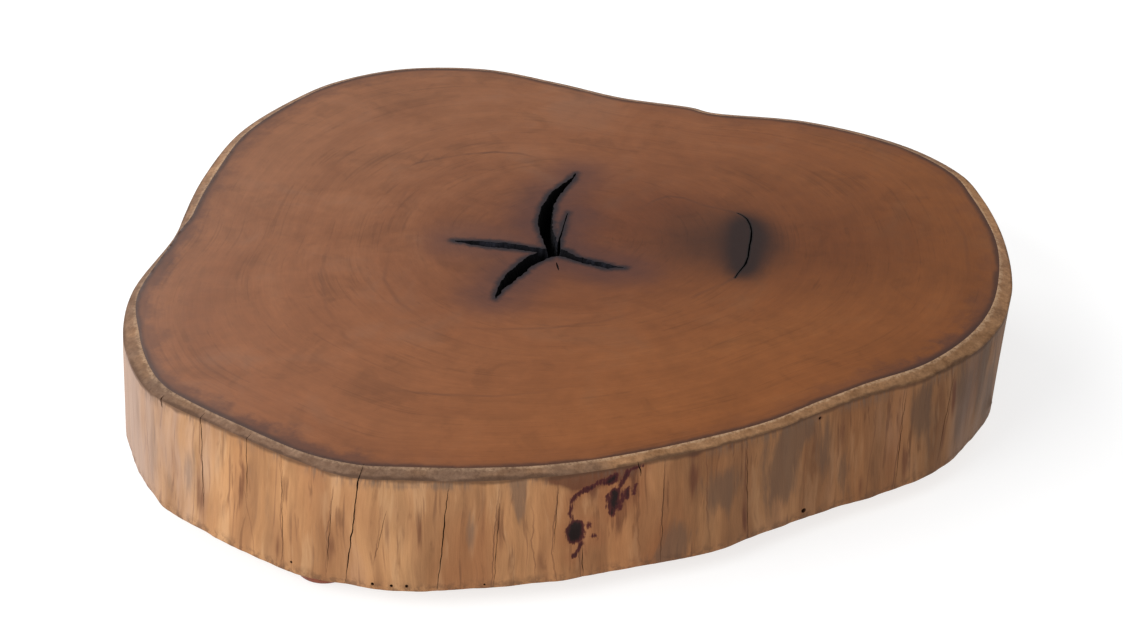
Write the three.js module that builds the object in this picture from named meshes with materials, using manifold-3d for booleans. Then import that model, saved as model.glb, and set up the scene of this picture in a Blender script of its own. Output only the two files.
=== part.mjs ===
// Wood slice: a thick, peeled cross-cut of one trunk with a dark heart and a paler rim, on three
// short turned feet. Millimetres, +Z up. The feet stand on z = 0 and the box is centred on x and y.
import * as THREE from "three";
import { mergeVertices } from "three/addons/utils/BufferGeometryUtils.js";
import Module from "manifold-3d";

const wasm = await Module();
wasm.setup();

// Driving sizes
const SLAB_THICK = 92;
const FOOT_HEIGHT = 16;
const TOP_Z = FOOT_HEIGHT + SLAB_THICK;
const GAP = 0.3;
const RIM_SLOPE = 0.28;
const UNDER_EDGE = 1.8;
const COLUMNS = 260;

const FOOT_RADIUS = 22;
const FOOT_PLACES = [
  [-184, -293],
  [300, -12],
  [-150, 283],
];
const SCREW_RADIUS = 2.5;
const SCREW_HEAD_RADIUS = 4.9;
const SCREW_HEAD_Z = 1.0;
const SCREW_TIP_Z = 42;

// Outer edge of the top, clockwise seen from above. Each row is x, y, how far the edge of the
// underside stands out past it (less than zero stands in), and the width of the sloping rim.
const OUTLINE = [
  [-345, -149, 6, 12],
  [-350, -78, 7, 6],
  [-329, 10, 7, 1],
  [-327, 51, 7, 8],
  [-320, 122, 6, 10],
  [-298, 207, 4, 8],
  [-259, 270, 2, 6],
  [-224, 308, -2, 6],
  [-165, 337, -5, 6],
  [-85, 338, -7, 7],
  [-16, 308, -8, 7],
  [43, 276, -9, 7],
  [107, 255, -8, 7],
  [123, 245, -8, 7],
  [209, 226, -8, 7],
  [288, 180, -9, 8],
  [331, 126, -9, 9],
  [344, 80, -8, 10],
  [350, 1, -7, 8],
  [342, -79, -6, 12],
  [315, -144, -2, 13],
  [265, -196, 5, 11],
  [222, -220, 8, 10.5],
  [186, -240, 5, 8],
  [140, -271, 1, 8],
  [86, -296, 6, 8.5],
  [28, -317, 2, 9],
  [-19, -328, 5, 9.5],
  [-68, -333, 7, 10.5],
  [-119, -332, 13, 10.5],
  [-160, -328, 9, 10.5],
  [-201, -307, 16, 7],
  [-250, -272, 16, 7],
  [-297, -237, 13, 9],
  [-318, -215, 6, 10.5],
];

// The star-shaped heart crack: x, y, half of its width and its depth along each arm. The last
// one is the short split where the others meet.
const STAR_ARMS = [
  [
    [-17, -17, 5.6, 46],
    [-21, -1, 5.6, 46],
    [-25, 20, 5.9, 45],
    [-26, 38, 6, 44],
    [-25, 50, 5.5, 42],
    [-23.5, 62, 5, 40],
    [-21, 72, 4.7, 38],
    [-17, 85, 4.1, 34],
    [-12, 95, 3.2, 28],
    [-7, 105, 2.4, 20],
    [-3, 112, 1.7, 13],
    [0, 122, 0.4, 4],
  ],
  [
    [-17, -16, 4.2, 44],
    [-30, -14, 3.6, 40],
    [-40, -11, 3.8, 38],
    [-50, -8, 4.4, 36],
    [-60, -5.5, 4.8, 33],
    [-72, -3.5, 4.4, 28],
    [-84, -1, 3.4, 21],
    [-92, 0.5, 2, 13],
    [-100, 2, 0.4, 4],
  ],
  [
    [-17, -16, 5, 45],
    [-25, -21, 6.4, 43],
    [-33, -27, 6.6, 41],
    [-40, -35, 6.3, 38],
    [-46, -46, 5.8, 34],
    [-52, -57, 5, 29],
    [-57, -67, 4, 22],
    [-60.5, -76, 2.2, 14],
    [-64, -91, 0.4, 4],
  ],
  [
    [-16, -17, 4.6, 44],
    [-8, -22, 4, 40],
    [2, -29, 3.6, 34],
    [12, -34, 3.6, 28],
    [20, -38, 3.6, 22],
    [26, -40, 3.6, 15],
    [30, -41, 1.4, 9],
    [38, -42, 0.4, 4],
  ],
  [
    [-15, -12, 2, 40],
    [-14, 5, 0.9, 30],
    [-11.5, 20, 0.6, 22],
    [-9.5, 36, 0.5, 14],
    [-7, 50, 0.3, 4],
  ],
  [
    [-27, -20, 2.5, 40],
    [-21, -18, 5.5, 44],
    [-13, -17, 5.5, 44],
    [-7, -18, 2.5, 40],
  ],
];

// The fine crack that follows a growth ring: x, y, half of its width and its depth.
const RING_SHAKE = [
  [134, 50, 0.3, 4],
  [138, 46, 0.4, 5],
  [141.5, 40, 0.6, 9],
  [143.5, 30, 0.7, 14],
  [144, 18, 0.7, 16],
  [142.5, 5, 0.7, 16],
  [140, -10, 0.7, 15],
  [138, -25, 0.7, 13],
  [135, -37, 0.7, 11],
  [130, -47, 0.5, 8],
  [125, -59, 0.3, 4],
];

// Drying checks down the side: place along the outline at their top and at their foot, height of
// both ends above the underside, width and depth.
const SIDE_CHECKS = [
  [1914, 1926, 94, -1, 1.4, 14],
  [1852, 1862, 87, -1, 1.1, 9],
  [1978, 1971, 88, -1, 0.8, 5],
  [2011, 2007, 94, 44, 0.9, 5],
  [2056, 2050, 94, 20, 1, 5],
  [2099, 2096, 93, 83, 2, 4],
  [1934, 1938, 76, 8, 0.8, 4],
  [1896, 1905, 64, 26, 0.8, 4],
  [1817, 1823, 70, -1, 0.9, 4],
  [1776, 1780, 80, 26, 0.7, 3],
  [1718, 1716, 91, 78, 1, 4],
  [1698, 1701, 88, -1, 0.9, 4],
  [1634, 1630, 88, -1, 0.9, 4],
  [1491, 1499, 88, -1, 0.9, 5],
  [1442, 1457, 84, 10, 0.8, 5],
  [318, 310, 94, -1, 1.4, 12],
  [742, 748, 88, -1, 1, 6],
  [1046, 1040, 94, 30, 1.2, 8],
];

// Flight holes of beetles in the side: place along the outline, height above the underside and
// radius.
const FLIGHT_HOLES = [
  [1907, 5, 1.2],
  [1894, 5, 1.1],
  [1883, 5, 1.2],
  [1965, 9, 1],
  [1581, 8, 2],
  [1569, 84, 1.2],
  [1829, 4, 0.8],
];

// A dead knot in the side: place along the outline, height, half width and half height.
const KNOT = { along: 1763, height: 40, halfWidth: 8, halfHeight: 10.5, deep: 3 };

const rimCurve = new THREE.CatmullRomCurve3(
  OUTLINE.map(([x, y]) => new THREE.Vector3(x, y, 0)),
  true,
  "centripetal",
);
rimCurve.arcLengthDivisions = 3200;
const RIM_LENGTH = rimCurve.getLength();

// Low ribs that run down the side, as a height in mm at a fraction u of the way round.
function ribs(u) {
  const a = 2 * Math.PI * u;
  return 0.35 * Math.sin(23 * a) + 0.25 * Math.sin(37 * a + 1.3) + 0.2 * Math.sin(52 * a + 0.4);
}

// The outline at a distance along it: point, outward normal, flare, rim width and ribs.
function edgeAt(along) {
  const u = (((along / RIM_LENGTH) % 1) + 1) % 1;
  const t = rimCurve.getUtoTmapping(u);
  const point = rimCurve.getPoint(t);
  const tangent = rimCurve.getTangent(t);
  const place = t * OUTLINE.length;
  const i = Math.floor(place) % OUTLINE.length;
  const near = OUTLINE[i];
  const next = OUTLINE[(i + 1) % OUTLINE.length];
  const f = place - Math.floor(place);
  const blend = f * f * (3 - 2 * f);
  return {
    x: point.x,
    y: point.y,
    nx: -tangent.y,
    ny: tangent.x,
    flare: near[2] + (next[2] - near[2]) * blend,
    rim: near[3] + (next[3] - near[3]) * blend,
    ribs: ribs(u),
  };
}

// A point of the side at a height above the underside, moved inwards by a distance.
function sidePoint(edge, height, inward, across = 0) {
  const down = Math.min(1, Math.max(0, 1 - height / SLAB_THICK));
  const out = edge.flare * down + edge.ribs * Math.min(1, down * 5) - inward;
  const x = edge.x + edge.nx * out - edge.ny * across;
  const y = edge.y + edge.ny * out + edge.nx * across;
  return [x, y, FOOT_HEIGHT + height];
}

function geometryOf(points, triangles) {
  const geometry = new THREE.BufferGeometry();
  geometry.setAttribute("position", new THREE.Float32BufferAttribute(points.flat(), 3));
  geometry.setIndex(triangles.flat());
  return geometry;
}

function turnedInsideOut(geometry) {
  const corners = geometry.index.array;
  for (let i = 0; i < corners.length; i += 3) {
    [corners[i + 1], corners[i + 2]] = [corners[i + 2], corners[i + 1]];
  }
  return geometry;
}

function solidOf(geometry) {
  const bare = geometry.clone();
  bare.deleteAttribute("normal");
  bare.deleteAttribute("uv");
  const merged = mergeVertices(bare, 1e-4);
  const mesh = new wasm.Mesh({
    numProp: 3,
    vertProperties: new Float32Array(merged.attributes.position.array),
    triVerts: new Uint32Array(merged.index.array),
  });
  const solid = new wasm.Manifold(mesh);
  return solid.volume() > 0 ? solid : solidOf(turnedInsideOut(merged));
}

function geometryFrom(solid) {
  const mesh = solid.getMesh();
  const geometry = new THREE.BufferGeometry();
  const position = new THREE.BufferAttribute(new Float32Array(mesh.vertProperties), 3);
  geometry.setAttribute("position", position);
  geometry.setIndex(new THREE.BufferAttribute(new Uint32Array(mesh.triVerts), 1));
  return geometry;
}

// Triangles of a flat cap over one ring of points, facing up or down.
function capTriangles(points, first, count, up) {
  const ring = [];
  for (let k = 0; k < count; k++) {
    ring.push(new THREE.Vector2(points[first + k][0], points[first + k][1]));
  }
  return THREE.ShapeUtils.triangulateShape(ring, []).map(([a, b, c]) => {
    const turn = (ring[b].x - ring[a].x) * (ring[c].y - ring[a].y)
      - (ring[b].y - ring[a].y) * (ring[c].x - ring[a].x);
    const asked = turn > 0 === up ? [a, b, c] : [a, c, b];
    return asked.map((k) => first + k);
  });
}

// The uncut slab: sawn top, sloping rim, peeled side that leans and flares, and sawn underside.
function slabBody() {
  const rows = [
    (edge) => [edge.rim, SLAB_THICK],
    (edge) => [edge.rim * 0.48, SLAB_THICK - RIM_SLOPE * edge.rim * 0.42],
    (edge) => [0.5, SLAB_THICK - RIM_SLOPE * edge.rim * 0.9],
    (edge) => [0, SLAB_THICK - RIM_SLOPE * edge.rim - 0.8],
    () => [0, SLAB_THICK * 0.74],
    () => [0, SLAB_THICK * 0.38],
    () => [0, UNDER_EDGE],
    () => [UNDER_EDGE, 0],
  ];
  const points = [];
  for (const row of rows) {
    for (let k = 0; k < COLUMNS; k++) {
      const edge = edgeAt((k / COLUMNS) * RIM_LENGTH);
      const [inward, height] = row(edge);
      points.push(sidePoint(edge, height, inward));
    }
  }
  const triangles = [];
  for (let r = 0; r + 1 < rows.length; r++) {
    for (let k = 0; k < COLUMNS; k++) {
      const a = r * COLUMNS + k;
      const b = r * COLUMNS + ((k + 1) % COLUMNS);
      triangles.push([a, b, b + COLUMNS], [a, b + COLUMNS, a + COLUMNS]);
    }
  }
  triangles.push(...capTriangles(points, 0, COLUMNS, true));
  triangles.push(...capTriangles(points, (rows.length - 1) * COLUMNS, COLUMNS, false));
  return solidOf(geometryOf(points, triangles));
}

// A closed bar through a list of four-cornered sections.
function barThrough(sections) {
  const points = sections.flat();
  const triangles = [];
  for (let s = 0; s + 1 < sections.length; s++) {
    for (let c = 0; c < 4; c++) {
      const a = s * 4 + c;
      const b = s * 4 + ((c + 1) % 4);
      triangles.push([a, b, b + 4], [a, b + 4, a + 4]);
    }
  }
  const last = (sections.length - 1) * 4;
  triangles.push([0, 2, 1], [0, 3, 2]);
  triangles.push([last, last + 1, last + 2], [last, last + 2, last + 3]);
  return solidOf(geometryOf(points, triangles));
}

// What a crack in the top takes away: a wedge that follows a path and narrows with depth.
function topCrack(path) {
  const sections = path.map(([x, y, half, deep], i) => {
    const [bx, by] = path[Math.max(0, i - 1)];
    const [ax, ay] = path[Math.min(path.length - 1, i + 1)];
    const length = Math.hypot(ax - bx, ay - by);
    const sx = -(ay - by) / length;
    const sy = (ax - bx) / length;
    const corner = (side, wide, z) => [x + sx * side * wide, y + sy * side * wide, z];
    return [
      corner(1, half, TOP_Z + 1),
      corner(-1, half, TOP_Z + 1),
      corner(-1, half * 0.3, TOP_Z - deep),
      corner(1, half * 0.3, TOP_Z - deep),
    ];
  });
  return barThrough(sections);
}

// What a check in the side takes away: a thin wedge that runs down the peeled face.
function sideCheck([top, foot, high, low, width, deep]) {
  const steps = 5;
  const sections = [];
  for (let s = 0; s <= steps; s++) {
    const f = s / steps;
    const edge = edgeAt(top + (foot - top) * f);
    const height = high + (low - high) * f;
    const ends = Math.min(1, 0.35 + 2.2 * Math.min(high > SLAB_THICK ? 1 : f, low < 0 ? 1 : 1 - f));
    const half = (width / 2) * ends;
    sections.push([
      sidePoint(edge, height, -1, half),
      sidePoint(edge, height, -1, -half),
      sidePoint(edge, height, deep * ends, -half * 0.3),
      sidePoint(edge, height, deep * ends, half * 0.3),
    ]);
  }
  return barThrough(sections);
}

function knotHollow() {
  const edge = edgeAt(KNOT.along);
  const [x, y, z] = sidePoint(edge, KNOT.height, 0);
  const ball = new THREE.SphereGeometry(1, 20, 12);
  ball.scale(KNOT.halfWidth, KNOT.deep, KNOT.halfHeight);
  ball.rotateZ(Math.atan2(edge.ny, edge.nx) - Math.PI / 2);
  ball.translate(x, y, z);
  return solidOf(ball);
}

function flightHole([along, height, radius]) {
  const edge = edgeAt(along);
  const [x, y, z] = sidePoint(edge, height, 2.5);
  const bore = new THREE.CylinderGeometry(radius, radius, 9, 10);
  bore.rotateZ(Math.PI / 2);
  bore.rotateZ(Math.atan2(edge.ny, edge.nx));
  bore.translate(x, y, z);
  return solidOf(bore);
}

// The pilot hole that a foot's screw goes up into.
function pilotHole([x, y]) {
  const bottom = FOOT_HEIGHT - 2;
  const top = SCREW_TIP_Z + GAP;
  const bore = new THREE.CylinderGeometry(
    SCREW_RADIUS + GAP, SCREW_RADIUS + GAP, top - bottom, 24);
  bore.rotateX(Math.PI / 2);
  bore.translate(x, y, (top + bottom) / 2);
  return solidOf(bore);
}

function slab() {
  let solid = slabBody();
  for (const arm of STAR_ARMS) solid = solid.subtract(topCrack(arm));
  solid = solid.subtract(topCrack(RING_SHAKE));
  for (const check of SIDE_CHECKS) solid = solid.subtract(sideCheck(check));
  for (const hole of FLIGHT_HOLES) solid = solid.subtract(flightHole(hole));
  solid = solid.subtract(knotHollow());
  for (const place of FOOT_PLACES) solid = solid.subtract(pilotHole(place));
  return geometryFrom(solid);
}

// A turned foot: a low disc with eased edges, bored and countersunk for its screw.
function foot([x, y]) {
  const bore = SCREW_RADIUS + GAP;
  const sink = SCREW_HEAD_RADIUS + GAP;
  const sinkTop = SCREW_HEAD_Z + GAP + (sink - bore);
  const top = FOOT_HEIGHT - GAP;
  const profile = [
    [bore, sinkTop],
    [sink, SCREW_HEAD_Z + GAP],
    [sink, 0],
    [FOOT_RADIUS - 2.4, 0],
    [FOOT_RADIUS - 0.9, 0.6],
    [FOOT_RADIUS - 0.2, 2],
    [FOOT_RADIUS, 4.5],
    [FOOT_RADIUS - 0.1, top - 3],
    [FOOT_RADIUS - 0.8, top - 1],
    [FOOT_RADIUS - 2, top],
    [bore, top],
    [bore, sinkTop],
  ].map(([r, z]) => new THREE.Vector2(r, z));
  const geometry = new THREE.LatheGeometry(profile, 44);
  geometry.rotateX(Math.PI / 2);
  geometry.translate(x, y, 0);
  return geometryFrom(solidOf(geometry));
}

// A countersunk wood screw, driven upwards through the foot into the slab.
function screw([x, y]) {
  const cone = SCREW_HEAD_RADIUS - SCREW_RADIUS;
  const profile = [
    [0, SCREW_HEAD_Z],
    [SCREW_HEAD_RADIUS, SCREW_HEAD_Z],
    [SCREW_RADIUS, SCREW_HEAD_Z + cone],
    [SCREW_RADIUS, SCREW_TIP_Z - 7],
    [SCREW_RADIUS * 0.7, SCREW_TIP_Z - 3],
    [0, SCREW_TIP_Z],
  ].map(([r, z]) => new THREE.Vector2(r, z));
  const shank = new THREE.LatheGeometry(profile, 24);
  shank.rotateX(Math.PI / 2);
  let solid = solidOf(shank);
  for (const turn of [0, Math.PI / 2]) {
    const slot = new THREE.BoxGeometry(5.4, 1.1, 3);
    slot.rotateZ(turn);
    slot.translate(0, 0, SCREW_HEAD_Z);
    solid = solid.subtract(solidOf(slot));
  }
  const geometry = geometryFrom(solid);
  geometry.translate(x, y, 0);
  return geometry;
}

function meshOf(name, geometry, color, roughness, metalness = 0) {
  const material = new THREE.MeshStandardMaterial({ color, roughness, metalness });
  const mesh = new THREE.Mesh(geometry, material);
  mesh.name = name;
  return mesh;
}

const part = new THREE.Group();
part.name = "wood_slice";
part.add(meshOf("slab", slab(), 0x8a5a3f, 0.55));
FOOT_PLACES.forEach((place, i) => {
  part.add(meshOf(`foot_${i + 1}`, foot(place), 0x5a2b1e, 0.5));
  part.add(meshOf(`screw_${i + 1}`, screw(place), 0xb4b4b0, 0.35, 1));
});

const centre = new THREE.Box3().setFromObject(part).getCenter(new THREE.Vector3());
for (const mesh of part.children) mesh.geometry.translate(-centre.x, -centre.y, 0);

export default part;
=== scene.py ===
# Wood slice: a thick, peeled cross-cut of one trunk with a sanded top, on three turned feet.
# Tables are in millimetres on the plan of the slice, and the meshes are in metres, +Z up.
import math

import bpy
import numpy as np
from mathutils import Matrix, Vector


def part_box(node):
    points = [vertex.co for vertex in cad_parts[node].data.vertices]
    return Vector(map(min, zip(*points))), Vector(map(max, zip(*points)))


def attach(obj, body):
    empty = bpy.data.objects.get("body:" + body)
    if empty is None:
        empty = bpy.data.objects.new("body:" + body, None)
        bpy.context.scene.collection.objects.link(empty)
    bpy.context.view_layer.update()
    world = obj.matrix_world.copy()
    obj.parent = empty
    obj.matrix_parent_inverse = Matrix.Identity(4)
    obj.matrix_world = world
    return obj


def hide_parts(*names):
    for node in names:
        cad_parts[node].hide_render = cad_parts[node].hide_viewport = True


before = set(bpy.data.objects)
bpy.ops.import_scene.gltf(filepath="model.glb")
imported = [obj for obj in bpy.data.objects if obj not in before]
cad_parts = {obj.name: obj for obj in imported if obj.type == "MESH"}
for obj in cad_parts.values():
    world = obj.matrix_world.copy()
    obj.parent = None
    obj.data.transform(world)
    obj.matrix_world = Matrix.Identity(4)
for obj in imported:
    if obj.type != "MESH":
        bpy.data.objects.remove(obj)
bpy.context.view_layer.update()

# The slab's outline. The trunk grew with five low lobes, so its edge is a smooth closed curve
# through a few points. The slab stands on feet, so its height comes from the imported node.
MM = 0.001
HEART = np.array([0.0, 10.0])
FOOT_PLACES = [(-184, -293), (300, -12), (-150, 283)]
# The rim falls by a share of its own width, then by a small step where it meets the side.
RIM_SLOPE = 0.28
RIM_STEP = 0.8
UNDER_EDGE = 1.8

slab_low, slab_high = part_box("slab")
foot_low, foot_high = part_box("foot_1")
UNDER_Z = slab_low.z / MM
TOP_Z = slab_high.z / MM
THICK = TOP_Z - UNDER_Z
PLAN_SHIFT = np.array([
    (foot_low.x + foot_high.x) / 2 / MM - FOOT_PLACES[0][0],
    (foot_low.y + foot_high.y) / 2 / MM - FOOT_PLACES[0][1],
])

# Each row is x, y, how far the underside's edge stands out past the top's, and the rim's width.
OUTLINE = np.array([
    (-345, -149, 6, 12), (-350, -78, 7, 6), (-329, 10, 7, 1), (-327, 51, 7, 8),
    (-320, 122, 6, 10), (-298, 207, 4, 8), (-259, 270, 2, 6), (-224, 308, -2, 6),
    (-165, 337, -5, 6), (-85, 338, -7, 7), (-16, 308, -8, 7), (43, 276, -9, 7),
    (107, 255, -8, 7), (123, 245, -8, 7), (209, 226, -8, 7), (288, 180, -9, 8),
    (331, 126, -9, 9), (344, 80, -8, 10), (350, 1, -7, 8), (342, -79, -6, 12),
    (315, -144, -2, 13), (265, -196, 5, 11), (222, -220, 8, 10.5), (186, -240, 5, 8),
    (140, -271, 1, 8), (86, -296, 6, 8.5), (28, -317, 2, 9), (-19, -328, 5, 9.5),
    (-68, -333, 7, 10.5), (-119, -332, 13, 10.5), (-160, -328, 9, 10.5), (-201, -307, 16, 7),
    (-250, -272, 16, 7), (-297, -237, 13, 9), (-318, -215, 6, 10.5),
], float)


def lerp(a, b, f):
    """a plus the fraction f of the way from a to b."""
    return a + (b - a) * f


def ease(value, low, high):
    """0 below low, 1 above high, and three f squared less two f cubed between."""
    f = np.clip((value - low) / (high - low), 0, 1)
    return f * f * (3 - 2 * f)


def trace_outline(steps=160):
    """A centripetal Catmull-Rom curve: knots are spaced by the root of the chord, and each stretch
    blends three straight lines through four neighbouring points."""
    p = [np.roll(OUTLINE[:, :2], shift, 0)[:, None] for shift in (1, 0, -1, -2)]
    gaps = [np.sqrt(np.linalg.norm(b - a, axis=2, keepdims=True)) for a, b in zip(p, p[1:])]
    t0 = np.zeros_like(gaps[0])
    t1 = t0 + gaps[0]
    t2 = t1 + gaps[1]
    t3 = t2 + gaps[2]
    f = np.linspace(0, 1, steps, endpoint=False)[None, :, None]
    t = lerp(t1, t2, f)
    a1 = lerp(p[0], p[1], (t - t0) / (t1 - t0))
    a2 = lerp(p[1], p[2], (t - t1) / (t2 - t1))
    a3 = lerp(p[2], p[3], (t - t2) / (t3 - t2))
    b1 = lerp(a1, a2, (t - t0) / (t2 - t0))
    b2 = lerp(a2, a3, (t - t1) / (t3 - t1))
    places = lerp(b1, b2, (t - t1) / (t2 - t1)).reshape(-1, 2)
    own = OUTLINE[:, None, 2:]
    extras = lerp(own, np.roll(own, -1, 0), ease(f, 0, 1)).reshape(-1, 2)
    chords = np.linalg.norm(np.roll(places, -1, 0) - places, axis=1)
    return places, extras, np.concatenate([[0], np.cumsum(chords)])


curve_places, curve_extras, curve_along = trace_outline()
ROUND = curve_along[-1]
curve_along = curve_along[:-1]
curve_tangents = np.roll(curve_places, -1, 0) - np.roll(curve_places, 1, 0)
curve_tangents /= np.linalg.norm(curve_tangents, axis=1, keepdims=True)


def around(along, values):
    """The value of a list kept on the outline, at distances along it."""
    return np.interp(along, curve_along, values, period=ROUND)


def edge_at(along):
    """Place, outward normal, flare and rim width of the outline at distances along it."""
    along = np.asarray(along, float)
    place = np.stack([around(along, curve_places[:, i]) for i in (0, 1)], -1)
    tangent = np.stack([around(along, curve_tangents[:, i]) for i in (0, 1)], -1)
    tangent /= np.linalg.norm(tangent, axis=-1, keepdims=True)
    normal = np.stack([-tangent[..., 1], tangent[..., 0]], -1)
    return place, normal, around(along, curve_extras[:, 0]), around(along, curve_extras[:, 1])


# The peeled side. Under the bark the trunk is fluted: low ribs that the solids have too, finer
# flutes that wander on their way down, a wart low on the right, and a dead knot at the front.
# The knot and the wart are placed by a distance along the outline and a height.
KNOT = (1763, 40)
HOLLOW_HALF = (6.4, 8.4)
HOLLOW_DEEP = 3.6
COLLAR_HALF = (13.6, 16.8)
COLLAR_HIGH = 1.1
WART = (1372, 17)
WART_HALF = (4.0, 4.0)
WART_HIGH = 2.6
# Each rib's waves round the trunk, phase and height.
RIBS = [(23, 0.0, 0.35), (37, 1.3, 0.25), (52, 0.4, 0.2)]
FLUTES = 70
FLUTE_HIGH = 0.12
FLUTE_DRIFT = 0.012
FEWEST_WAVES = 60
MOST_WAVES = 420
flute_rng = np.random.default_rng(11)
flute_waves = flute_rng.integers(FEWEST_WAVES, MOST_WAVES, FLUTES)
flute_phases = flute_rng.uniform(0, 2 * np.pi, FLUTES)
flute_drift = flute_rng.normal(0, FLUTE_DRIFT, FLUTES)
flute_sizes = (flute_waves / FEWEST_WAVES) ** -1.5
flute_sizes /= np.sqrt((flute_sizes ** 2).sum() / 2)


def ribs(along):
    """The sum of a sine round the trunk for each of the three kinds of rib."""
    turn = 2 * np.pi * along / ROUND
    return sum(high * np.sin(waves * turn + phase) for waves, phase, high in RIBS)


def flutes(along, height):
    """A sum of sines round the trunk whose phases turn slowly with height."""
    total = np.zeros(np.broadcast(along, height).shape)
    for wave, phase, drift, size in zip(flute_waves, flute_phases, flute_drift, flute_sizes):
        total += size * np.sin(2 * np.pi * wave * along / ROUND + phase + drift * height)
    return total


def bump(along, height, middle, half):
    """One in the middle of an ellipse, falling as a bell."""
    across = (along - middle[0] + ROUND / 2) % ROUND - ROUND / 2
    return np.exp(-(across / half[0]) ** 2 - ((height - middle[1]) / half[1]) ** 2)


def relief(along, height):
    """How far the peeled face stands out of its plain lean: ribs and flutes that grow from
    nothing at the rim, the wart, and the knot's hollow with a low collar."""
    down = np.clip(1 - height / THICK, 0, 1)
    grown = ease(down, 0.03, 0.2)
    plain = ribs(along) * np.minimum(1, down * 5) + FLUTE_HIGH * flutes(along, height) * grown
    wart = WART_HIGH * bump(along, height, WART, WART_HALF)
    collar = COLLAR_HIGH * bump(along, height, KNOT, COLLAR_HALF)
    hollow = HOLLOW_DEEP * bump(along, height, KNOT, HOLLOW_HALF)
    return plain + wart + collar - hollow


def side_place(along, height, inward):
    """A point of the side: the outline, moved out by the lean and the relief and in by inward."""
    place, normal, flare, _ = edge_at(along)
    down = np.clip(1 - height / THICK, 0, 1)
    out = flare * down + relief(along, height) - inward
    flat = place + normal * np.asarray(out)[..., None]
    return np.concatenate([flat, np.asarray(height)[..., None] + UNDER_Z], -1)


# The slab's mesh runs from the middle of the top out to the rim, down the side, and back to the
# middle of the underside, in closed rows of points that get fewer towards the middles.
COLUMNS = 1152
SEAM_ALONG = 700.0
RIM_SINES = 50
RIM_UNEVEN = 0.1
column_along = SEAM_ALONG + np.arange(COLUMNS) * ROUND / COLUMNS
rim_rng = np.random.default_rng(5)
rim_waves = rim_rng.integers(90, 520, RIM_SINES)
rim_phases = rim_rng.uniform(0, 2 * np.pi, RIM_SINES)


def rim_unevenness(along):
    """A sum of equal sines round the rim, where the shaving tool left it uneven."""
    angles = 2 * np.pi * rim_waves[:, None] * along[None] / ROUND + rim_phases[:, None]
    return np.sin(angles).sum(0) / np.sqrt(RIM_SINES / 2) * RIM_UNEVEN


def rim_row(inner, drop):
    """A row of the sloping rim, at a share of its width in from the outline and a share of its
    fall. The unevenness is greatest half way across, and fades towards both edges."""
    place, normal, _, width = edge_at(column_along)
    uneven = rim_unevenness(column_along) * np.sin(np.pi * inner) ** 0.7
    z = TOP_Z - RIM_SLOPE * width * drop - uneven
    flat = place - normal * (width * inner)[:, None]
    return np.concatenate([flat, z[:, None]], 1)


def side_row(f):
    """A row of the side, f of the way from the step under the rim to the eased lower edge."""
    width = edge_at(column_along)[3]
    upper = THICK - RIM_SLOPE * width - RIM_STEP
    return side_place(column_along, lerp(upper, UNDER_EDGE, f), 0.0)


def foot_row(inward, height):
    """A row of the eased edge between the side and the underside."""
    return side_place(column_along, np.full(COLUMNS, height), inward)


def cap_rows(z, edge, steps):
    """Rows of a flat cap at height z. Each step is a fraction t and a count: the cap's edge, with
    that many points, drawn in towards the heart to t of its distance."""
    rows = []
    for t, count in steps:
        flat = HEART + (edge[::COLUMNS // count, :2] - HEART) * t
        rows.append(np.concatenate([flat, np.full((count, 1), z)], 1))
    return rows


def stitched(first, second, a, b):
    """Triangles between a closed row of a points and the next of b: as many, twice or half."""
    k = np.arange(min(a, b))
    if a == b:
        after = (k + 1) % a
        quads = (first + k, first + after, second + after, second + k)
        parts = [quads[:3], (quads[0], quads[2], quads[3])]
    elif b == 2 * a:
        after = (k + 1) % a
        far = (2 * k + 2) % b
        parts = [(first + k, first + after, second + 2 * k + 1),
                 (first + k, second + 2 * k + 1, second + 2 * k),
                 (first + after, second + far, second + 2 * k + 1)]
    else:
        after = (k + 1) % b
        far = (2 * k + 2) % a
        parts = [(first + 2 * k, first + 2 * k + 1, second + k),
                 (first + 2 * k + 1, second + after, second + k),
                 (first + 2 * k + 1, first + far, second + after)]
    return np.concatenate([np.stack(part, 1) for part in parts])


def stacked(rows):
    """Points of a body whose rows run from one middle point to the other, and the triangles
    between each row and the next."""
    counts = [len(row) for row in rows]
    starts = np.concatenate([[0], np.cumsum(counts)])
    triangles = []
    for i in range(len(rows) - 1):
        a, b = counts[i], counts[i + 1]
        if a == 1:
            k = np.arange(b)
            fan = (np.full(b, starts[i]), starts[i + 1] + (k + 1) % b, starts[i + 1] + k)
            triangles.append(np.stack(fan, 1))
        elif b == 1:
            k = np.arange(a)
            fan = (starts[i] + k, starts[i] + (k + 1) % a, np.full(a, starts[i + 1]))
            triangles.append(np.stack(fan, 1))
        else:
            triangles.append(stitched(starts[i], starts[i + 1], a, b))
    return np.concatenate(rows), triangles


def closed_body(rows):
    """Points and triangles of a body whose rows run from one middle point to the other."""
    points, strips = stacked(rows)
    return points, np.concatenate(strips)


def object_from(name, points, triangles):
    """A Blender object at the origin from points in millimetres on the plan."""
    where = np.array(points, float)
    where[:, :2] += PLAN_SHIFT
    where *= MM
    mesh = bpy.data.meshes.new(name)
    mesh.vertices.add(len(where))
    mesh.vertices.foreach_set("co", where.ravel())
    mesh.loops.add(triangles.size)
    mesh.loops.foreach_set("vertex_index", triangles.ravel().astype(np.int32))
    mesh.polygons.add(len(triangles))
    starts = np.arange(0, triangles.size, 3, dtype=np.int32)
    mesh.polygons.foreach_set("loop_start", starts)
    mesh.update(calc_edges=True)
    mesh.validate()
    thing = bpy.data.objects.new(name, mesh)
    bpy.context.scene.collection.objects.link(thing)
    return thing


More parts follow.
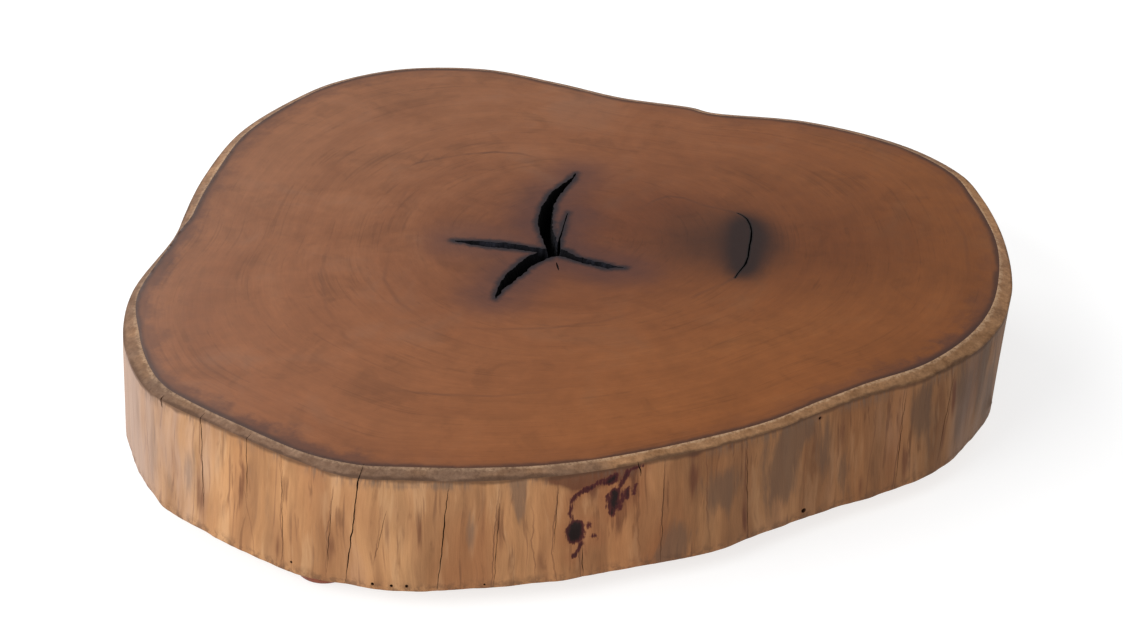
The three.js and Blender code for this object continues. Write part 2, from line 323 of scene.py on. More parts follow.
# Shares of the rim's width and fall at each of its rows, from its inner edge outwards.
RIM_PROFILE = [(1.0, 0.0), (0.94, 0.02), (0.84, 0.1), (0.67, 0.28), (0.5, 0.46), (0.32, 0.65),
               (0.15, 0.83), (0.04, 0.95)]
SIDE_STEPS = 33
rim_rows = [rim_row(*shares) for shares in RIM_PROFILE]
top_steps = [(0.018, 72)] + [(t, 144) for t in np.arange(0.03, 0.11, 0.01)]
top_steps += [(t, 288) for t in np.arange(0.11, 0.5, 0.008)]
top_steps += [(t, 288) for t in np.arange(0.5, 0.7, 0.025)]
top_steps += [(t, 576) for t in np.arange(0.7, 0.93, 0.023)]
top_steps += [(0.945, 1152), (0.965, 1152), (0.982, 1152), (0.993, 1152)]
under_steps = [(0.995, 1152), (0.97, 576), (0.9, 288), (0.75, 144), (0.5, 72)]
side_rows = [side_row(f) for f in np.linspace(0, 1, SIDE_STEPS)]
foot_rows = [foot_row(0.55, 0.55), foot_row(UNDER_EDGE, 0.0)]
middle = np.array([[HEART[0], HEART[1], TOP_Z]])
top_rows = [middle] + cap_rows(TOP_Z, rim_rows[0], top_steps)
under_rows = cap_rows(UNDER_Z, foot_rows[-1], under_steps) + [middle * (1, 1, 0) + (0, 0, UNDER_Z)]
TOP, RIM, SIDE, UNDER, TOP_WALL, SIDE_WALL = range(6)
surfaces = [TOP] * len(top_rows) + [RIM] * len(rim_rows)
surfaces += [SIDE] * (len(side_rows) + 1) + [UNDER] * len(under_rows)
slab_points, slab_strips = stacked(top_rows + rim_rows + side_rows + foot_rows + under_rows)
slab = object_from("slice", slab_points, np.concatenate(slab_strips))
for slot_name in ("sanded top", "shaved rim", "peeled side", "sawn underside", "heart crack wall",
                  "side crack wall"):
    slab.data.materials.append(bpy.data.materials.new(slot_name))
slab.data.polygons.foreach_set("material_index", np.concatenate(
    [np.full(len(strip), surface) for strip, surface in zip(slab_strips, surfaces)]))

# The cracks. The heart dried fastest and split into a star, one crack follows a growth ring, and
# the side has drying checks down the grain and the flight holes of beetles. Each is cut out.

# The cracks in the top, the star's arms first: x, y, half of the width and the depth along each.
STAR_ARMS = [
    [(-17, -17, 5.6, 46), (-21, -1, 5.6, 46), (-25, 20, 5.9, 45), (-26, 38, 6, 44),
     (-25, 50, 5.5, 42), (-23.5, 62, 5, 40), (-21, 72, 4.7, 38), (-17, 85, 4.1, 34),
     (-12, 95, 3.2, 28), (-7, 105, 2.4, 20), (-3, 112, 1.7, 13), (0, 122, 0.4, 4)],
    [(-17, -16, 4.2, 44), (-30, -14, 3.6, 40), (-40, -11, 3.8, 38), (-50, -8, 4.4, 36),
     (-60, -5.5, 4.8, 33), (-72, -3.5, 4.4, 28), (-84, -1, 3.4, 21), (-92, 0.5, 2, 13),
     (-100, 2, 0.4, 4)],
    [(-17, -16, 5, 45), (-25, -21, 6.4, 43), (-33, -27, 6.6, 41), (-40, -35, 6.3, 38),
     (-46, -46, 5.8, 34), (-52, -57, 5, 29), (-57, -67, 4, 22), (-60.5, -76, 2.2, 14),
     (-64, -91, 0.4, 4)],
    [(-16, -17, 4.6, 44), (-8, -22, 4, 40), (2, -29, 3.6, 34), (12, -34, 3.6, 28),
     (20, -38, 3.6, 22), (26, -40, 3.6, 15), (30, -41, 1.4, 9), (38, -42, 0.4, 4)],
    [(-15, -12, 2, 40), (-14, 5, 0.9, 30), (-11.5, 20, 0.6, 22), (-9.5, 36, 0.5, 14),
     (-7, 50, 0.3, 4)],
    [(-27, -20, 2.5, 40), (-21, -18, 5.5, 44), (-13, -17, 5.5, 44), (-7, -18, 2.5, 40)],
]
RING_SHAKE = [(134, 50, 0.3, 4), (138, 46, 0.4, 5), (141.5, 40, 0.6, 9), (143.5, 30, 0.7, 14),
              (144, 18, 0.7, 16), (142.5, 5, 0.7, 16), (140, -10, 0.7, 15), (138, -25, 0.7, 13),
              (135, -37, 0.7, 11), (130, -47, 0.5, 8), (125, -59, 0.3, 4)]
HAIR_CRACK = [(-16.5, -33, 0.3, 2), (-15.5, -40, 0.7, 4), (-14.5, -47, 0.2, 1.5)]
# Checks down the side: place along the outline at the top and at the foot, heights of both ends
# above the underside, width and depth.
SIDE_CHECKS = [
    (1914, 1926, 94, -1, 0.9, 14), (1852, 1862, 87, -1, 0.7, 9), (1978, 1971, 88, -1, 0.45, 5),
    (2011, 2007, 94, 44, 0.55, 5), (2056, 2050, 94, 20, 0.65, 5), (2099, 2096, 93, 83, 1.8, 4),
    (1934, 1938, 76, 8, 0.4, 4), (1896, 1905, 64, 26, 0.4, 4), (1817, 1823, 70, -1, 0.45, 4),
    (1776, 1780, 80, 26, 0.4, 3), (1718, 1716, 91, 78, 0.7, 4), (1698, 1701, 88, -1, 0.45, 4),
    (1634, 1630, 88, -1, 0.5, 4), (1491, 1499, 88, -1, 0.5, 5), (1442, 1457, 84, 10, 0.5, 5),
    (1759, 1759, 27, -1, 0.5, 3), (318, 310, 94, -1, 1, 12), (742, 748, 88, -1, 0.8, 6),
    (1046, 1040, 94, 30, 0.9, 8),
]
# Flight holes: place along the outline, height and radius.
FLIGHT_HOLES = [(1907, 5, 1.2), (1894, 5, 1.1), (1883, 5, 1.2), (1965, 9, 1.0), (1581, 8, 2.0),
                (1569, 84, 1.2), (1829, 4, 0.8)]
HOLE_DEEP = 7
# The feet's screws go into pilot holes. Each bore starts a little outside the wood.
PILOT_RADIUS = 2.8
PILOT_TOP = 42.3
OUTSIDE = 2


def ragged(count, step, size, reach, rng):
    """Noise along a crack: random numbers smoothed over reach millimetres, of a given size."""
    wide = max(1, int(reach / step))
    kernel = np.hanning(2 * wide + 3)
    rough = np.convolve(rng.normal(0, 1, count + len(kernel) - 1), kernel, "valid")
    return size * rough / (np.abs(rough).max() + 1e-9)


def halved(quads):
    """Two triangles for each quad, parted from its first corner to its third."""
    return np.concatenate([quads[:, [0, 1, 2]], quads[:, [0, 2, 3]]])


def facing_out(points, triangles):
    """A closed shape with its faces out. Its volume, a sixth of the sum of a cross b dot c over
    its triangles, comes out below nothing when they face in, and then each is turned round."""
    a, b, c = (points[triangles[:, i]] - points[0] for i in range(3))
    inside_out = (np.cross(a, b) * c).sum() < 0
    return points, triangles[:, ::-1] if inside_out else triangles


def wedge(base, across, inward, left, right, deep, levels):
    """A closed wedge along a line of stations. At each level, a pair of depth share and width
    share, it holds a point to the left and one to the right of the line. A level below 0 lies
    that many millimetres outside the wood."""
    sides = []
    for half, sign in ((left, -1), (right, 1)):
        rows = [base + inward * (deep * level if level > 0 else np.full(len(deep), level))[:, None]
                + across * (sign * half * share)[:, None] for level, share in levels]
        sides.append(rows)
    ring = np.stack(sides[0] + sides[1][::-1], 1)
    stations, around_count = ring.shape[:2]
    k = np.arange(around_count)
    after = (k + 1) % around_count
    starts = (np.arange(stations - 1) * around_count)[:, None]
    quads = np.stack([starts + k, starts + after, starts + around_count + after,
                      starts + around_count + k], -1).reshape(-1, 4)
    half_count = around_count // 2
    j = np.arange(half_count - 1)
    ladder = np.concatenate([
        np.stack([j, around_count - 1 - j, j + 1], 1),
        np.stack([j + 1, around_count - 1 - j, around_count - 2 - j], 1)])
    last = (stations - 1) * around_count
    triangles = np.concatenate([halved(quads), ladder, ladder[:, ::-1] + last])
    return facing_out(ring.reshape(-1, 3), triangles)


TOP_LEVELS = [(-1, 1.0), (0.004, 1.0), (0.02, 0.97), (0.07, 0.9), (0.18, 0.78), (0.4, 0.6),
              (0.7, 0.4), (1.0, 0.12)]
SIDE_LEVELS = [(-1.2, 1.05), (0.02, 1.0), (0.3, 0.7), (1.0, 0.12)]


def top_crack(path, seed, roughness, step=1.1):
    """A wedge down into the top along a path. Each lip adds a fine and a broad noise of its own to
    the half width, less towards the ends, and stays wider than a third of it."""
    rng = np.random.default_rng(seed)
    path = np.array(path, float)
    legs = np.linalg.norm(np.diff(path[:, :2], axis=0), axis=1)
    at = np.concatenate([[0], np.cumsum(legs)])
    fine = np.linspace(0, at[-1], int(at[-1] / step))
    x, y, half, deep = (np.interp(fine, at, path[:, i]) for i in range(4))
    soft = np.hanning(9) / np.hanning(9).sum()
    x, y = (np.convolve(np.pad(v, 4, "edge"), soft, "valid") for v in (x, y))
    count = len(fine)
    ends = np.minimum(1, np.minimum(fine, at[-1] - fine) / 6 + 0.15)
    lips = []
    for _ in ("left", "right"):
        fine_noise = ragged(count, step, roughness, 1.5, rng) * ends
        broad_noise = ragged(count, step, roughness, 5, rng) * ends
        lips.append(np.maximum(half + fine_noise + broad_noise, half * 0.35))
    along = np.stack([np.gradient(x), np.gradient(y)], 1)
    along /= np.linalg.norm(along, axis=1, keepdims=True)
    across = np.stack([-along[:, 1], along[:, 0], np.zeros(count)], 1)
    base = np.stack([x, y, np.full(count, TOP_Z)], 1)
    inward = np.tile((0.0, 0.0, -1.0), (count, 1))
    return wedge(base, across, inward, *lips, deep, TOP_LEVELS)


def side_check(row, seed, step=2.2):
    """A thin wedge into the side that runs down the grain with small jogs."""
    top, foot, high, low, width, deep = row
    rng = np.random.default_rng(seed)
    count = max(6, int((high - low) / step))
    f = np.linspace(0, 1, count)
    height = lerp(float(high), float(low), f)
    along = lerp(float(top), float(foot), f) + ragged(count, step, 0.5, 4, rng)
    fade_top = 1.0 if high > THICK else 0.0
    ends = np.clip(0.25 + 2.4 * np.minimum(np.maximum(f, fade_top), 1 - f), 0, 1)
    half = width / 2 * ends * (1 + ragged(count, step, 0.3, 5, rng))
    base = side_place(along, height, 0.0)
    normal = edge_at(along)[1]
    zero = np.zeros((count, 1))
    across = np.concatenate([-normal[:, 1:], normal[:, :1], zero], 1)
    inward = np.concatenate([-normal, zero], 1)
    return wedge(base, across, inward, half, half, deep * ends, SIDE_LEVELS)


def round_bore(start, end, radius, count):
    """A closed cylinder from start to end, as a prism with count sides."""
    start, end = np.array(start, float), np.array(end, float)
    axis = (end - start) / np.linalg.norm(end - start)
    side = np.cross(axis, (0.0, 0.0, 1.0) if abs(axis[2]) < 0.9 else (1.0, 0.0, 0.0))
    side /= np.linalg.norm(side)
    turn = np.arange(count) * 2 * np.pi / count
    ring = np.cos(turn)[:, None] * side + np.sin(turn)[:, None] * np.cross(axis, side)
    rows = [start[None], start + ring * radius, end + ring * radius, end[None]]
    return facing_out(*closed_body(rows))


def flight_hole(along, height, radius):
    """A round bore straight into the side."""
    normal = np.append(edge_at(along)[1], 0.0)
    mouth = side_place(np.array([along]), np.array([height]), 0.0)[0]
    return round_bore(mouth + normal * OUTSIDE, mouth - normal * HOLE_DEEP, radius, 14)


def joined(shapes):
    """Several closed shapes as one list of points and one of triangles."""
    counts = np.cumsum([0] + [len(points) for points, _ in shapes])
    triangles = [tri + start for (_, tri), start in zip(shapes, counts)]
    return np.concatenate([points for points, _ in shapes]), np.concatenate(triangles)


def cut(body, name, shape, surface):
    """Take a closed shape out of a body for good, and give the new faces a material slot."""
    tool = object_from(name, *shape)
    for material in body.data.materials:
        tool.data.materials.append(material)
    tool.data.polygons.foreach_set("material_index", [surface] * len(tool.data.polygons))
    change = body.modifiers.new(name, "BOOLEAN")
    change.operation = "DIFFERENCE"
    change.solver = "MANIFOLD"
    change.object = tool
    seen = body.evaluated_get(bpy.context.evaluated_depsgraph_get())
    mesh = bpy.data.meshes.new_from_object(seen)
    old = body.data
    body.modifiers.clear()
    body.data = mesh
    bpy.data.meshes.remove(old)
    bpy.data.meshes.remove(tool.data)


# Each crack has a seed of its own. The lips of the star's broad arms are the most ragged.
ARM_SEED = 20
CHECK_SEED = 60
BROAD_ARM_NOISE = 0.75
THIN_ARM_NOISE = 0.2
THIN_ARM = 4
for i, arm in enumerate(STAR_ARMS):
    shape = top_crack(arm, ARM_SEED + i, THIN_ARM_NOISE if i == THIN_ARM else BROAD_ARM_NOISE)
    cut(slab, f"star_arm_{i}", shape, TOP_WALL)
fine_cracks = [top_crack(RING_SHAKE, 40, 0.15), top_crack(HAIR_CRACK, 41, 0.1)]
cut(slab, "fine_cracks", joined(fine_cracks), TOP_WALL)
bores = [side_check(row, CHECK_SEED + i) for i, row in enumerate(SIDE_CHECKS)]
bores += [flight_hole(*place) for place in FLIGHT_HOLES]
bores += [round_bore((x, y, UNDER_Z - OUTSIDE), (x, y, PILOT_TOP), PILOT_RADIUS, 32)
          for x, y in FOOT_PLACES]
cut(slab, "checks_and_holes", joined(bores), SIDE_WALL)

# What the wood's colours follow: growth rings round the heart, the distance in from the rim, the
# place on the peeled side, and the stains round the cracks and the knot. Each is worked out from
# the points of the cut mesh and kept on them.
curve_angles = np.arctan2(curve_places[:, 1] - HEART[1], curve_places[:, 0] - HEART[0])
order = np.argsort(curve_angles)
turn_angles = curve_angles[order]
turn_reach = np.linalg.norm(curve_places - HEART, axis=1)[order]
turn_along = np.unwrap(curve_along[order], period=ROUND)
MEAN_REACH = turn_reach.mean()


def reach_at(angle):
    """How far the outline lies from the heart in a direction."""
    return np.interp(angle, turn_angles, turn_reach, period=2 * np.pi)


def nearest_along(flat):
    """The place along the outline of each point: a first guess from its direction about the heart
    is put right four times by how far the point lies along the tangent there."""
    flat = np.asarray(flat, float)
    angle = np.arctan2(flat[:, 1] - HEART[1], flat[:, 0] - HEART[0])
    along = np.interp(angle, turn_angles, turn_along) % ROUND
    for _ in range(4):
        place, normal, _, _ = edge_at(along)
        tangent = np.stack([normal[:, 1], -normal[:, 0]], 1)
        along = (along + np.clip(((flat - place) * tangent).sum(1), -12, 12)) % ROUND
    return along


def look_up(rows, along):
    """A table's number at each distance along the outline, in straight lines between its rows,
    which are a place on the plan and a number."""
    rows = np.array(rows, float)
    at = nearest_along(rows[:, :2])
    rank = np.argsort(at)
    return np.interp(along, at[rank], rows[rank, 2], period=ROUND)


def line_gap(points, path):
    """Distance of each point from a path whose rows are a place and a half width, less that half
    width."""
    path = np.array(path, float)
    best = np.full(len(points), 1e3)
    for (ax, ay, ah), (bx, by, bh) in zip(path[:, :3], path[1:, :3]):
        leg = np.array([bx - ax, by - ay])
        f = np.clip(((points - (ax, ay)) @ leg) / (leg @ leg + 1e-9), 0, 1)
        gap = np.linalg.norm(points - (ax, ay) - f[:, None] * leg, axis=1) - lerp(ah, bh, f)
        best = np.minimum(best, gap)
    return best


def line_offset(points, path):
    """Each point's distance to the left of the line through a path's nearest leg, below nothing
    to its right, and its plain distance from that leg."""
    path = np.array(path, float)[:, :2]
    best = np.full(len(points), 1e3)
    signed = np.full(len(points), 1e3)
    for (ax, ay), (bx, by) in zip(path, path[1:]):
        leg = np.array([bx - ax, by - ay])
        reach = points - (ax, ay)
        f = np.clip((reach @ leg) / (leg @ leg), 0, 1)
        gap = np.linalg.norm(reach - f[:, None] * leg, axis=1)
        nearer = gap < best
        best = np.where(nearer, gap, best)
        cross = (leg[0] * reach[:, 1] - leg[1] * reach[:, 0]) / np.linalg.norm(leg)
        signed = np.where(nearer, cross, signed)
    return signed, best


def drawn_lines(points, paths, reach):
    """For crisp lines that are finer than the mesh: the signed offset from the nearest path, and
    that path's strength there, which fades out over the reach."""
    offset = np.full(len(points), reach)
    strength = np.zeros(len(points))
    nearest = np.full(len(points), 1e3)
    for path in paths:
        signed, gap = line_offset(points, path)
        legs = np.array(path, float)
        inner = [line_offset(points, legs[i:i + 2])[1] for i in range(len(path) - 1)]
        leg = np.argmin(inner, axis=0)
        start = legs[leg, :2]
        span = legs[leg + 1, :2] - start
        f = np.clip(((points - start) * span).sum(1) / (span ** 2).sum(1), 0, 1)
        here = lerp(legs[leg, 2], legs[leg + 1, 2], f) * (1 - ease(gap, reach * 0.3, reach))
        nearer = gap < nearest
        nearest = np.where(nearer, gap, nearest)
        offset = np.where(nearer, np.clip(signed, -reach, reach), offset)
        strength = np.where(nearer, here, strength)
    return offset, strength


def spots(points, rows):
    """Bells added up. Each row is a middle, two half sizes and a strength, and its bell is that
    strength times e to the power of minus the squared distance, counted in half sizes."""
    total = np.zeros(len(points))
    for x, y, half_x, half_y, strength in rows:
        away = ((points[:, 0] - x) / half_x) ** 2 + ((points[:, 1] - y) / half_y) ** 2
        total += strength * np.exp(-away)
    return total


def keep(mesh, name, values):
    """Keep a number or a vector for each point of the mesh, under a name that materials read."""
    vector = np.ndim(values) == 2
    layer = mesh.attributes.new(name, "FLOAT_VECTOR" if vector else "FLOAT", "POINT")
    layer.data.foreach_set("vector" if vector else "value", np.ravel(values).astype(np.float32))


# Rows of x, y, the two half sizes and strength: brown-black stains round the ring crack, darker
# heartwood, and the walls of the star's side arms near their lips, where light is painted.
ARC_STAINS = [
    (141, 26, 17, 30, 0.75), (136, -24, 18, 30, 0.7), (131, -48, 15, 20, 0.5), (138, 0, 16, 44, 0.4),
    (162, -4, 19, 46, 0.62), (114, 6, 28, 64, 0.52), (82, 0, 36, 62, 0.5),
]
DARK_HEARTWOOD = [
    (30, 20, 190, 190, 0.5), (-5, 10, 110, 100, 0.35), (240, -5, 110, 100, 0.42),
    (-110, -90, 70, 60, 0.12), (80, 62, 40, 22, 0.2),
]
PAINTED_LIT_LIPS = [(-62, -5, 40, 12, 1.0), (16, -36, 24, 12, 1.0), (-20, 0, 6, 14, 0.5)]
# The dead knot with its red-black bleeding, in places along the side, heights and half widths.
KNOT_MARKS = [
    [(1764, 37, 6.6), (1764, 43.5, 6.6)],
    [(1766.5, 50, 1.2), (1767.5, 56, 1.0), (1767, 63, 1.0), (1766, 68, 1.2), (1762, 72, 1.3),
     (1757, 74, 1.9), (1753, 75, 1.6), (1749, 78, 1.3), (1745, 80, 1.6)],
    [(1745, 79, 1.8), (1740, 78, 2.8), (1737, 80, 3.4), (1734, 84, 2.0)],
    [(1732, 73, 1.6), (1728, 79, 1.9), (1725, 85, 1.4), (1720, 86, 1.0), (1714, 87, 0.5)],
    [(1735.5, 69, 3.4), (1736, 60, 4.2), (1737.5, 50, 1.8)],
    [(1741, 66, 1.6), (1739.5, 57, 1.8)],
    [(1730.5, 68, 1.4), (1731.5, 54, 1.4)],
    [(1726, 70, 1.6), (1727, 61, 1.5)],
    [(1720, 72, 0.9), (1721.5, 64, 0.8)],
    [(1754, 46, 0.9), (1754, 42, 0.8)],
    [(1752, 34, 0.8), (1751, 36, 0.7), (1748.5, 34.5, 0.8), (1748, 31, 0.7)],
    [(1760.5, 29, 1.2), (1763, 24, 1.2), (1766, 20, 1.6)],
]
# Brown stains on the side, beside the knot's bleeding and down the grain: along, height, half
# sizes and strength.
BROWN_STAINS = [
    (1757, 83, 14, 6, 1.9), (1742, 84, 15, 6, 1.9), (1728, 86, 9, 5, 1.2), (1776, 86, 14, 4, 1.1),
    (1752, 74, 4, 9, 0.7), (1765, 78, 3, 10, 0.5), (1722, 78, 3, 8, 0.6), (1569, 84, 3, 3, 1.0),
    (1647, 86, 3, 3, 0.9), (1676, 87, 6, 3, 0.8), (1745, 68, 8, 8, 0.25), (1728, 64, 9, 10, 0.5),
    (1733, 42, 5, 14, 0.4), (1761, 18, 3, 16, 0.5), (1677, 66, 2.2, 18, 0.9), (1673, 70, 2, 12, 0.7),
    (1817, 40, 2.5, 26, 0.5), (1698, 45, 2.5, 40, 0.45), (1634, 20, 2.6, 18, 0.8), (1634, 60, 2, 30, 0.4),
    (1548, 66, 2.5, 20, 0.5), (1530, 14, 2.5, 14, 0.7), (1491, 20, 3, 18, 0.9), (1497, 60, 2, 26, 0.5),
    (1508, 30, 6, 22, 0.35), (1442, 62, 3, 18, 0.9), (1452, 30, 3, 20, 0.6), (1420, 40, 3, 40, 0.4),
    (1977, 16, 2.2, 14, 0.7), (1966, 12, 5, 12, 0.25), (2012, 52, 2.6, 20, 0.7),
    (2030, 26, 5, 10, 0.35), (2056, 44, 2.6, 30, 0.5), (2052, 26, 5, 16, 0.6),
    (2083, 50, 3.5, 30, 0.35), (1896, 50, 2.6, 20, 0.6), (1935, 28, 3.5, 14, 0.6),
    (1873, 48, 2.4, 16, 0.5), (1829, 60, 2.2, 30, 0.4), (1790, 18, 3, 12, 0.6), (1360, 50, 4, 40, 0.4),
    (200, 40, 4, 30, 0.5), (318, 45, 3, 40, 0.6), (520, 30, 4, 24, 0.5), (742, 50, 3, 40, 0.5),
    (1046, 50, 3, 30, 0.5), (1180, 40, 4, 30, 0.5),
]
# Grey weathered patches on the side: along, height, half sizes and strength.
GREY_PATCHES = [
    (2066, 44, 7, 28, 0.85), (2086, 30, 6, 24, 0.6), (2108, 45, 7, 34, 0.55), (2022, 34, 6, 18, 0.75),
    (2038, 58, 5, 18, 0.4), (2140, 50, 14, 44, 0.5), (1806, 82, 8, 16, 1.0), (1804, 62, 4, 10, 0.6),
    (1838, 52, 5, 26, 0.6), (1782, 84, 8, 5, 0.6), (1602, 55, 15, 34, 1.3), (1586, 80, 12, 13, 1.0),
    (1653, 52, 12, 20, 1.0), (1687, 20, 13, 18, 1.0), (1672, 60, 6, 12, 0.4), (1562, 60, 8, 36, 0.7),
    (1545, 30, 7, 28, 0.8), (1478, 62, 11, 36, 0.9), (1432, 50, 14, 40, 0.9), (1398, 60, 12, 40, 1.0),
    (1375, 30, 12, 36, 0.9), (1700, 6, 16, 8, 0.6), (1880, 84, 18, 5, 0.7), (1850, 85, 16, 5, 0.6),
    (1908, 85, 10, 4, 0.5), (2120, 20, 12, 20, 0.5), (60, 40, 8, 30, 0.5), (230, 60, 9, 30, 0.5),
    (420, 35, 10, 26, 0.6), (610, 60, 8, 26, 0.5), (780, 40, 12, 30, 0.6), (905, 62, 9, 24, 0.6),
    (1010, 30, 12, 22, 0.6), (1105, 55, 9, 28, 0.5), (1215, 40, 8, 26, 0.6), (1290, 58, 7, 24, 0.5),
]
# What changes round the edge, in rows of a place on the plan and a number: how bright and how red
# the side is, how strong the painted sheen on it is, how bright the rim is (its tone, with a
# painted highlight along the back) and how tan, and how smudged the top's edge.
EDGE_TABLES = {
    "side_tone": [
        (-350, -100, 0.82), (-320, -205, 0.8), (-297, -237, 0.82), (-270, -258, 0.9), (-250, -272, 0.98),
        (-201, -307, 0.9), (-119, -332, 0.93), (-60, -332, 0.86), (-19, -328, 0.87), (28, -317, 0.8),
        (86, -296, 0.64), (140, -271, 0.62), (222, -220, 0.58), (265, -196, 0.5), (315, -144, 0.46),
        (350, 1, 0.52), (331, 126, 0.65), (123, 245, 0.75), (-85, 338, 0.8), (-259, 270, 0.8),
        (-327, 51, 0.8),
    ],
    "side_red": [
        (-350, -100, 0), (-119, -332, 0.05), (-60, -332, 0.2), (-19, -328, 0.3), (28, -317, 0.65),
        (86, -296, 0.45), (140, -271, 0.45), (222, -220, 0.65), (315, -144, 0.2), (350, 1, 0.35),
        (123, 245, 0.3), (-259, 270, 0.1),
    ],
    "side_painted_sheen": [
        (-327, 51, 0.3), (-350, -78, 0.5), (-345, -149, 0.8), (-330, -195, 0.75), (-312, -222, 0.55),
        (-297, -237, 0.2), (-270, -258, 0.25), (-250, -272, 0.05), (-119, -332, 0), (265, -196, 0.05),
        (300, -165, 0.35), (330, -110, 0.5), (350, 1, 0.4), (331, 126, 0.2), (-85, 338, 0.2),
    ],
    # The rim's tone; the higher numbers along the back paint a highlight there.
    "rim_tone_and_highlight": [
        (-345, -149, 1.05), (-325, -203, 0.86), (-297, -237, 0.95), (-250, -270, 1.15),
        (-160, -328, 1.0), (-19, -328, 1.0), (28, -317, 0.96), (86, -296, 0.82), (140, -271, 0.86),
        (222, -220, 0.8), (265, -196, 0.68), (315, -144, 0.75), (342, -79, 1.0), (350, -15, 1.3),
        (331, 126, 1.1), (209, 226, 1.4), (-16, 308, 1.6), (-165, 337, 1.3), (-259, 270, 1.1),
        (-320, 122, 1.1),
    ],
    "rim_tan": [
        (-345, -149, 0.35), (-250, -270, 0.1), (-119, -332, 0.12), (-19, -328, 0.22), (5, -322, 0.5),
        (28, -317, 0.85), (86, -296, 0.95), (222, -220, 1.0), (315, -144, 0.95), (342, -79, 0.75),
        (350, -15, 0.4), (344, 80, 0.9), (331, 126, 0.6), (250, 205, 0.25), (-16, 308, 0.05),
        (-165, 337, 0.05), (-259, 270, 0.3), (-320, 122, 0.45), (-329, 0, 0.1), (-350, -78, 0.2),
    ],
    "smudge": [
        (-345, -149, 0.55), (-297, -237, 0.8), (-225, -290, 1.0), (-160, -328, 0.8), (-119, -332, 0.2),
        (28, -317, 0.15), (140, -271, 0.25), (222, -220, 0.5), (265, -196, 1.0), (315, -144, 0.9),
        (342, -79, 0.35), (344, 80, 0.3), (209, 226, 0.35), (107, 255, 0.3), (-16, 308, 0.25),
        (-165, 337, 0.5), (-259, 270, 0.6), (-320, 122, 0.6), (-335, -20, 0.9),
    ],
}
# Lines finer than the mesh, each row a place and a strength: growth arcs that stand out darker on
# the top, and brown hairlines down the side as places along it and heights.
DARK_ARCS = [
    [(-146, 133, 0.2), (-138, 141, 0.8), (-118, 150, 0.9), (-95, 158, 1), (-70, 162, 0.9),
     (-48, 159, 0.7), (-36, 152, 0.2)],
    [(-168, 152, 0.1), (-140, 164, 0.4), (-100, 176, 0.4), (-60, 180, 0.3), (-40, 178, 0.1)],
    [(-160, -217, 0.1), (-135, -223, 0.5), (-100, -229, 0.6), (-60, -231, 0.5), (-30, -226, 0.5),
     (-8, -218, 0.1)],
    [(56, 60, 0.1), (66, 72, 0.5), (78, 80, 0.7), (92, 76, 0.7), (106, 64, 0.6), (118, 58, 0.6),
     (134, 50, 0.5)],
    [(88, -92, 0.1), (97, -82, 0.7), (106, -75, 0.8), (116, -67, 0.8), (125, -58, 0.9)],
    [(-95, -134, 0.1), (-60, -137, 0.4), (-20, -135, 0.5), (20, -125, 0.4), (45, -112, 0.1)],
    [(-152, -20, 0.1), (-153, -60, 0.4), (-140, -95, 0.4), (-120, -120, 0.1)],
    [(-200, 10, 0.1), (-204, -50, 0.4), (-195, -105, 0.4), (-176, -150, 0.1)],
    [(-150, 60, 0.1), (-143, 95, 0.5), (-128, 112, 0.1)],
    [(-105, 120, 0.1), (-85, 128, 0.5), (-60, 128, 0.1)],
    [(310, 60, 0.1), (318, 10, 0.4), (312, -50, 0.4), (296, -95, 0.1)],
]
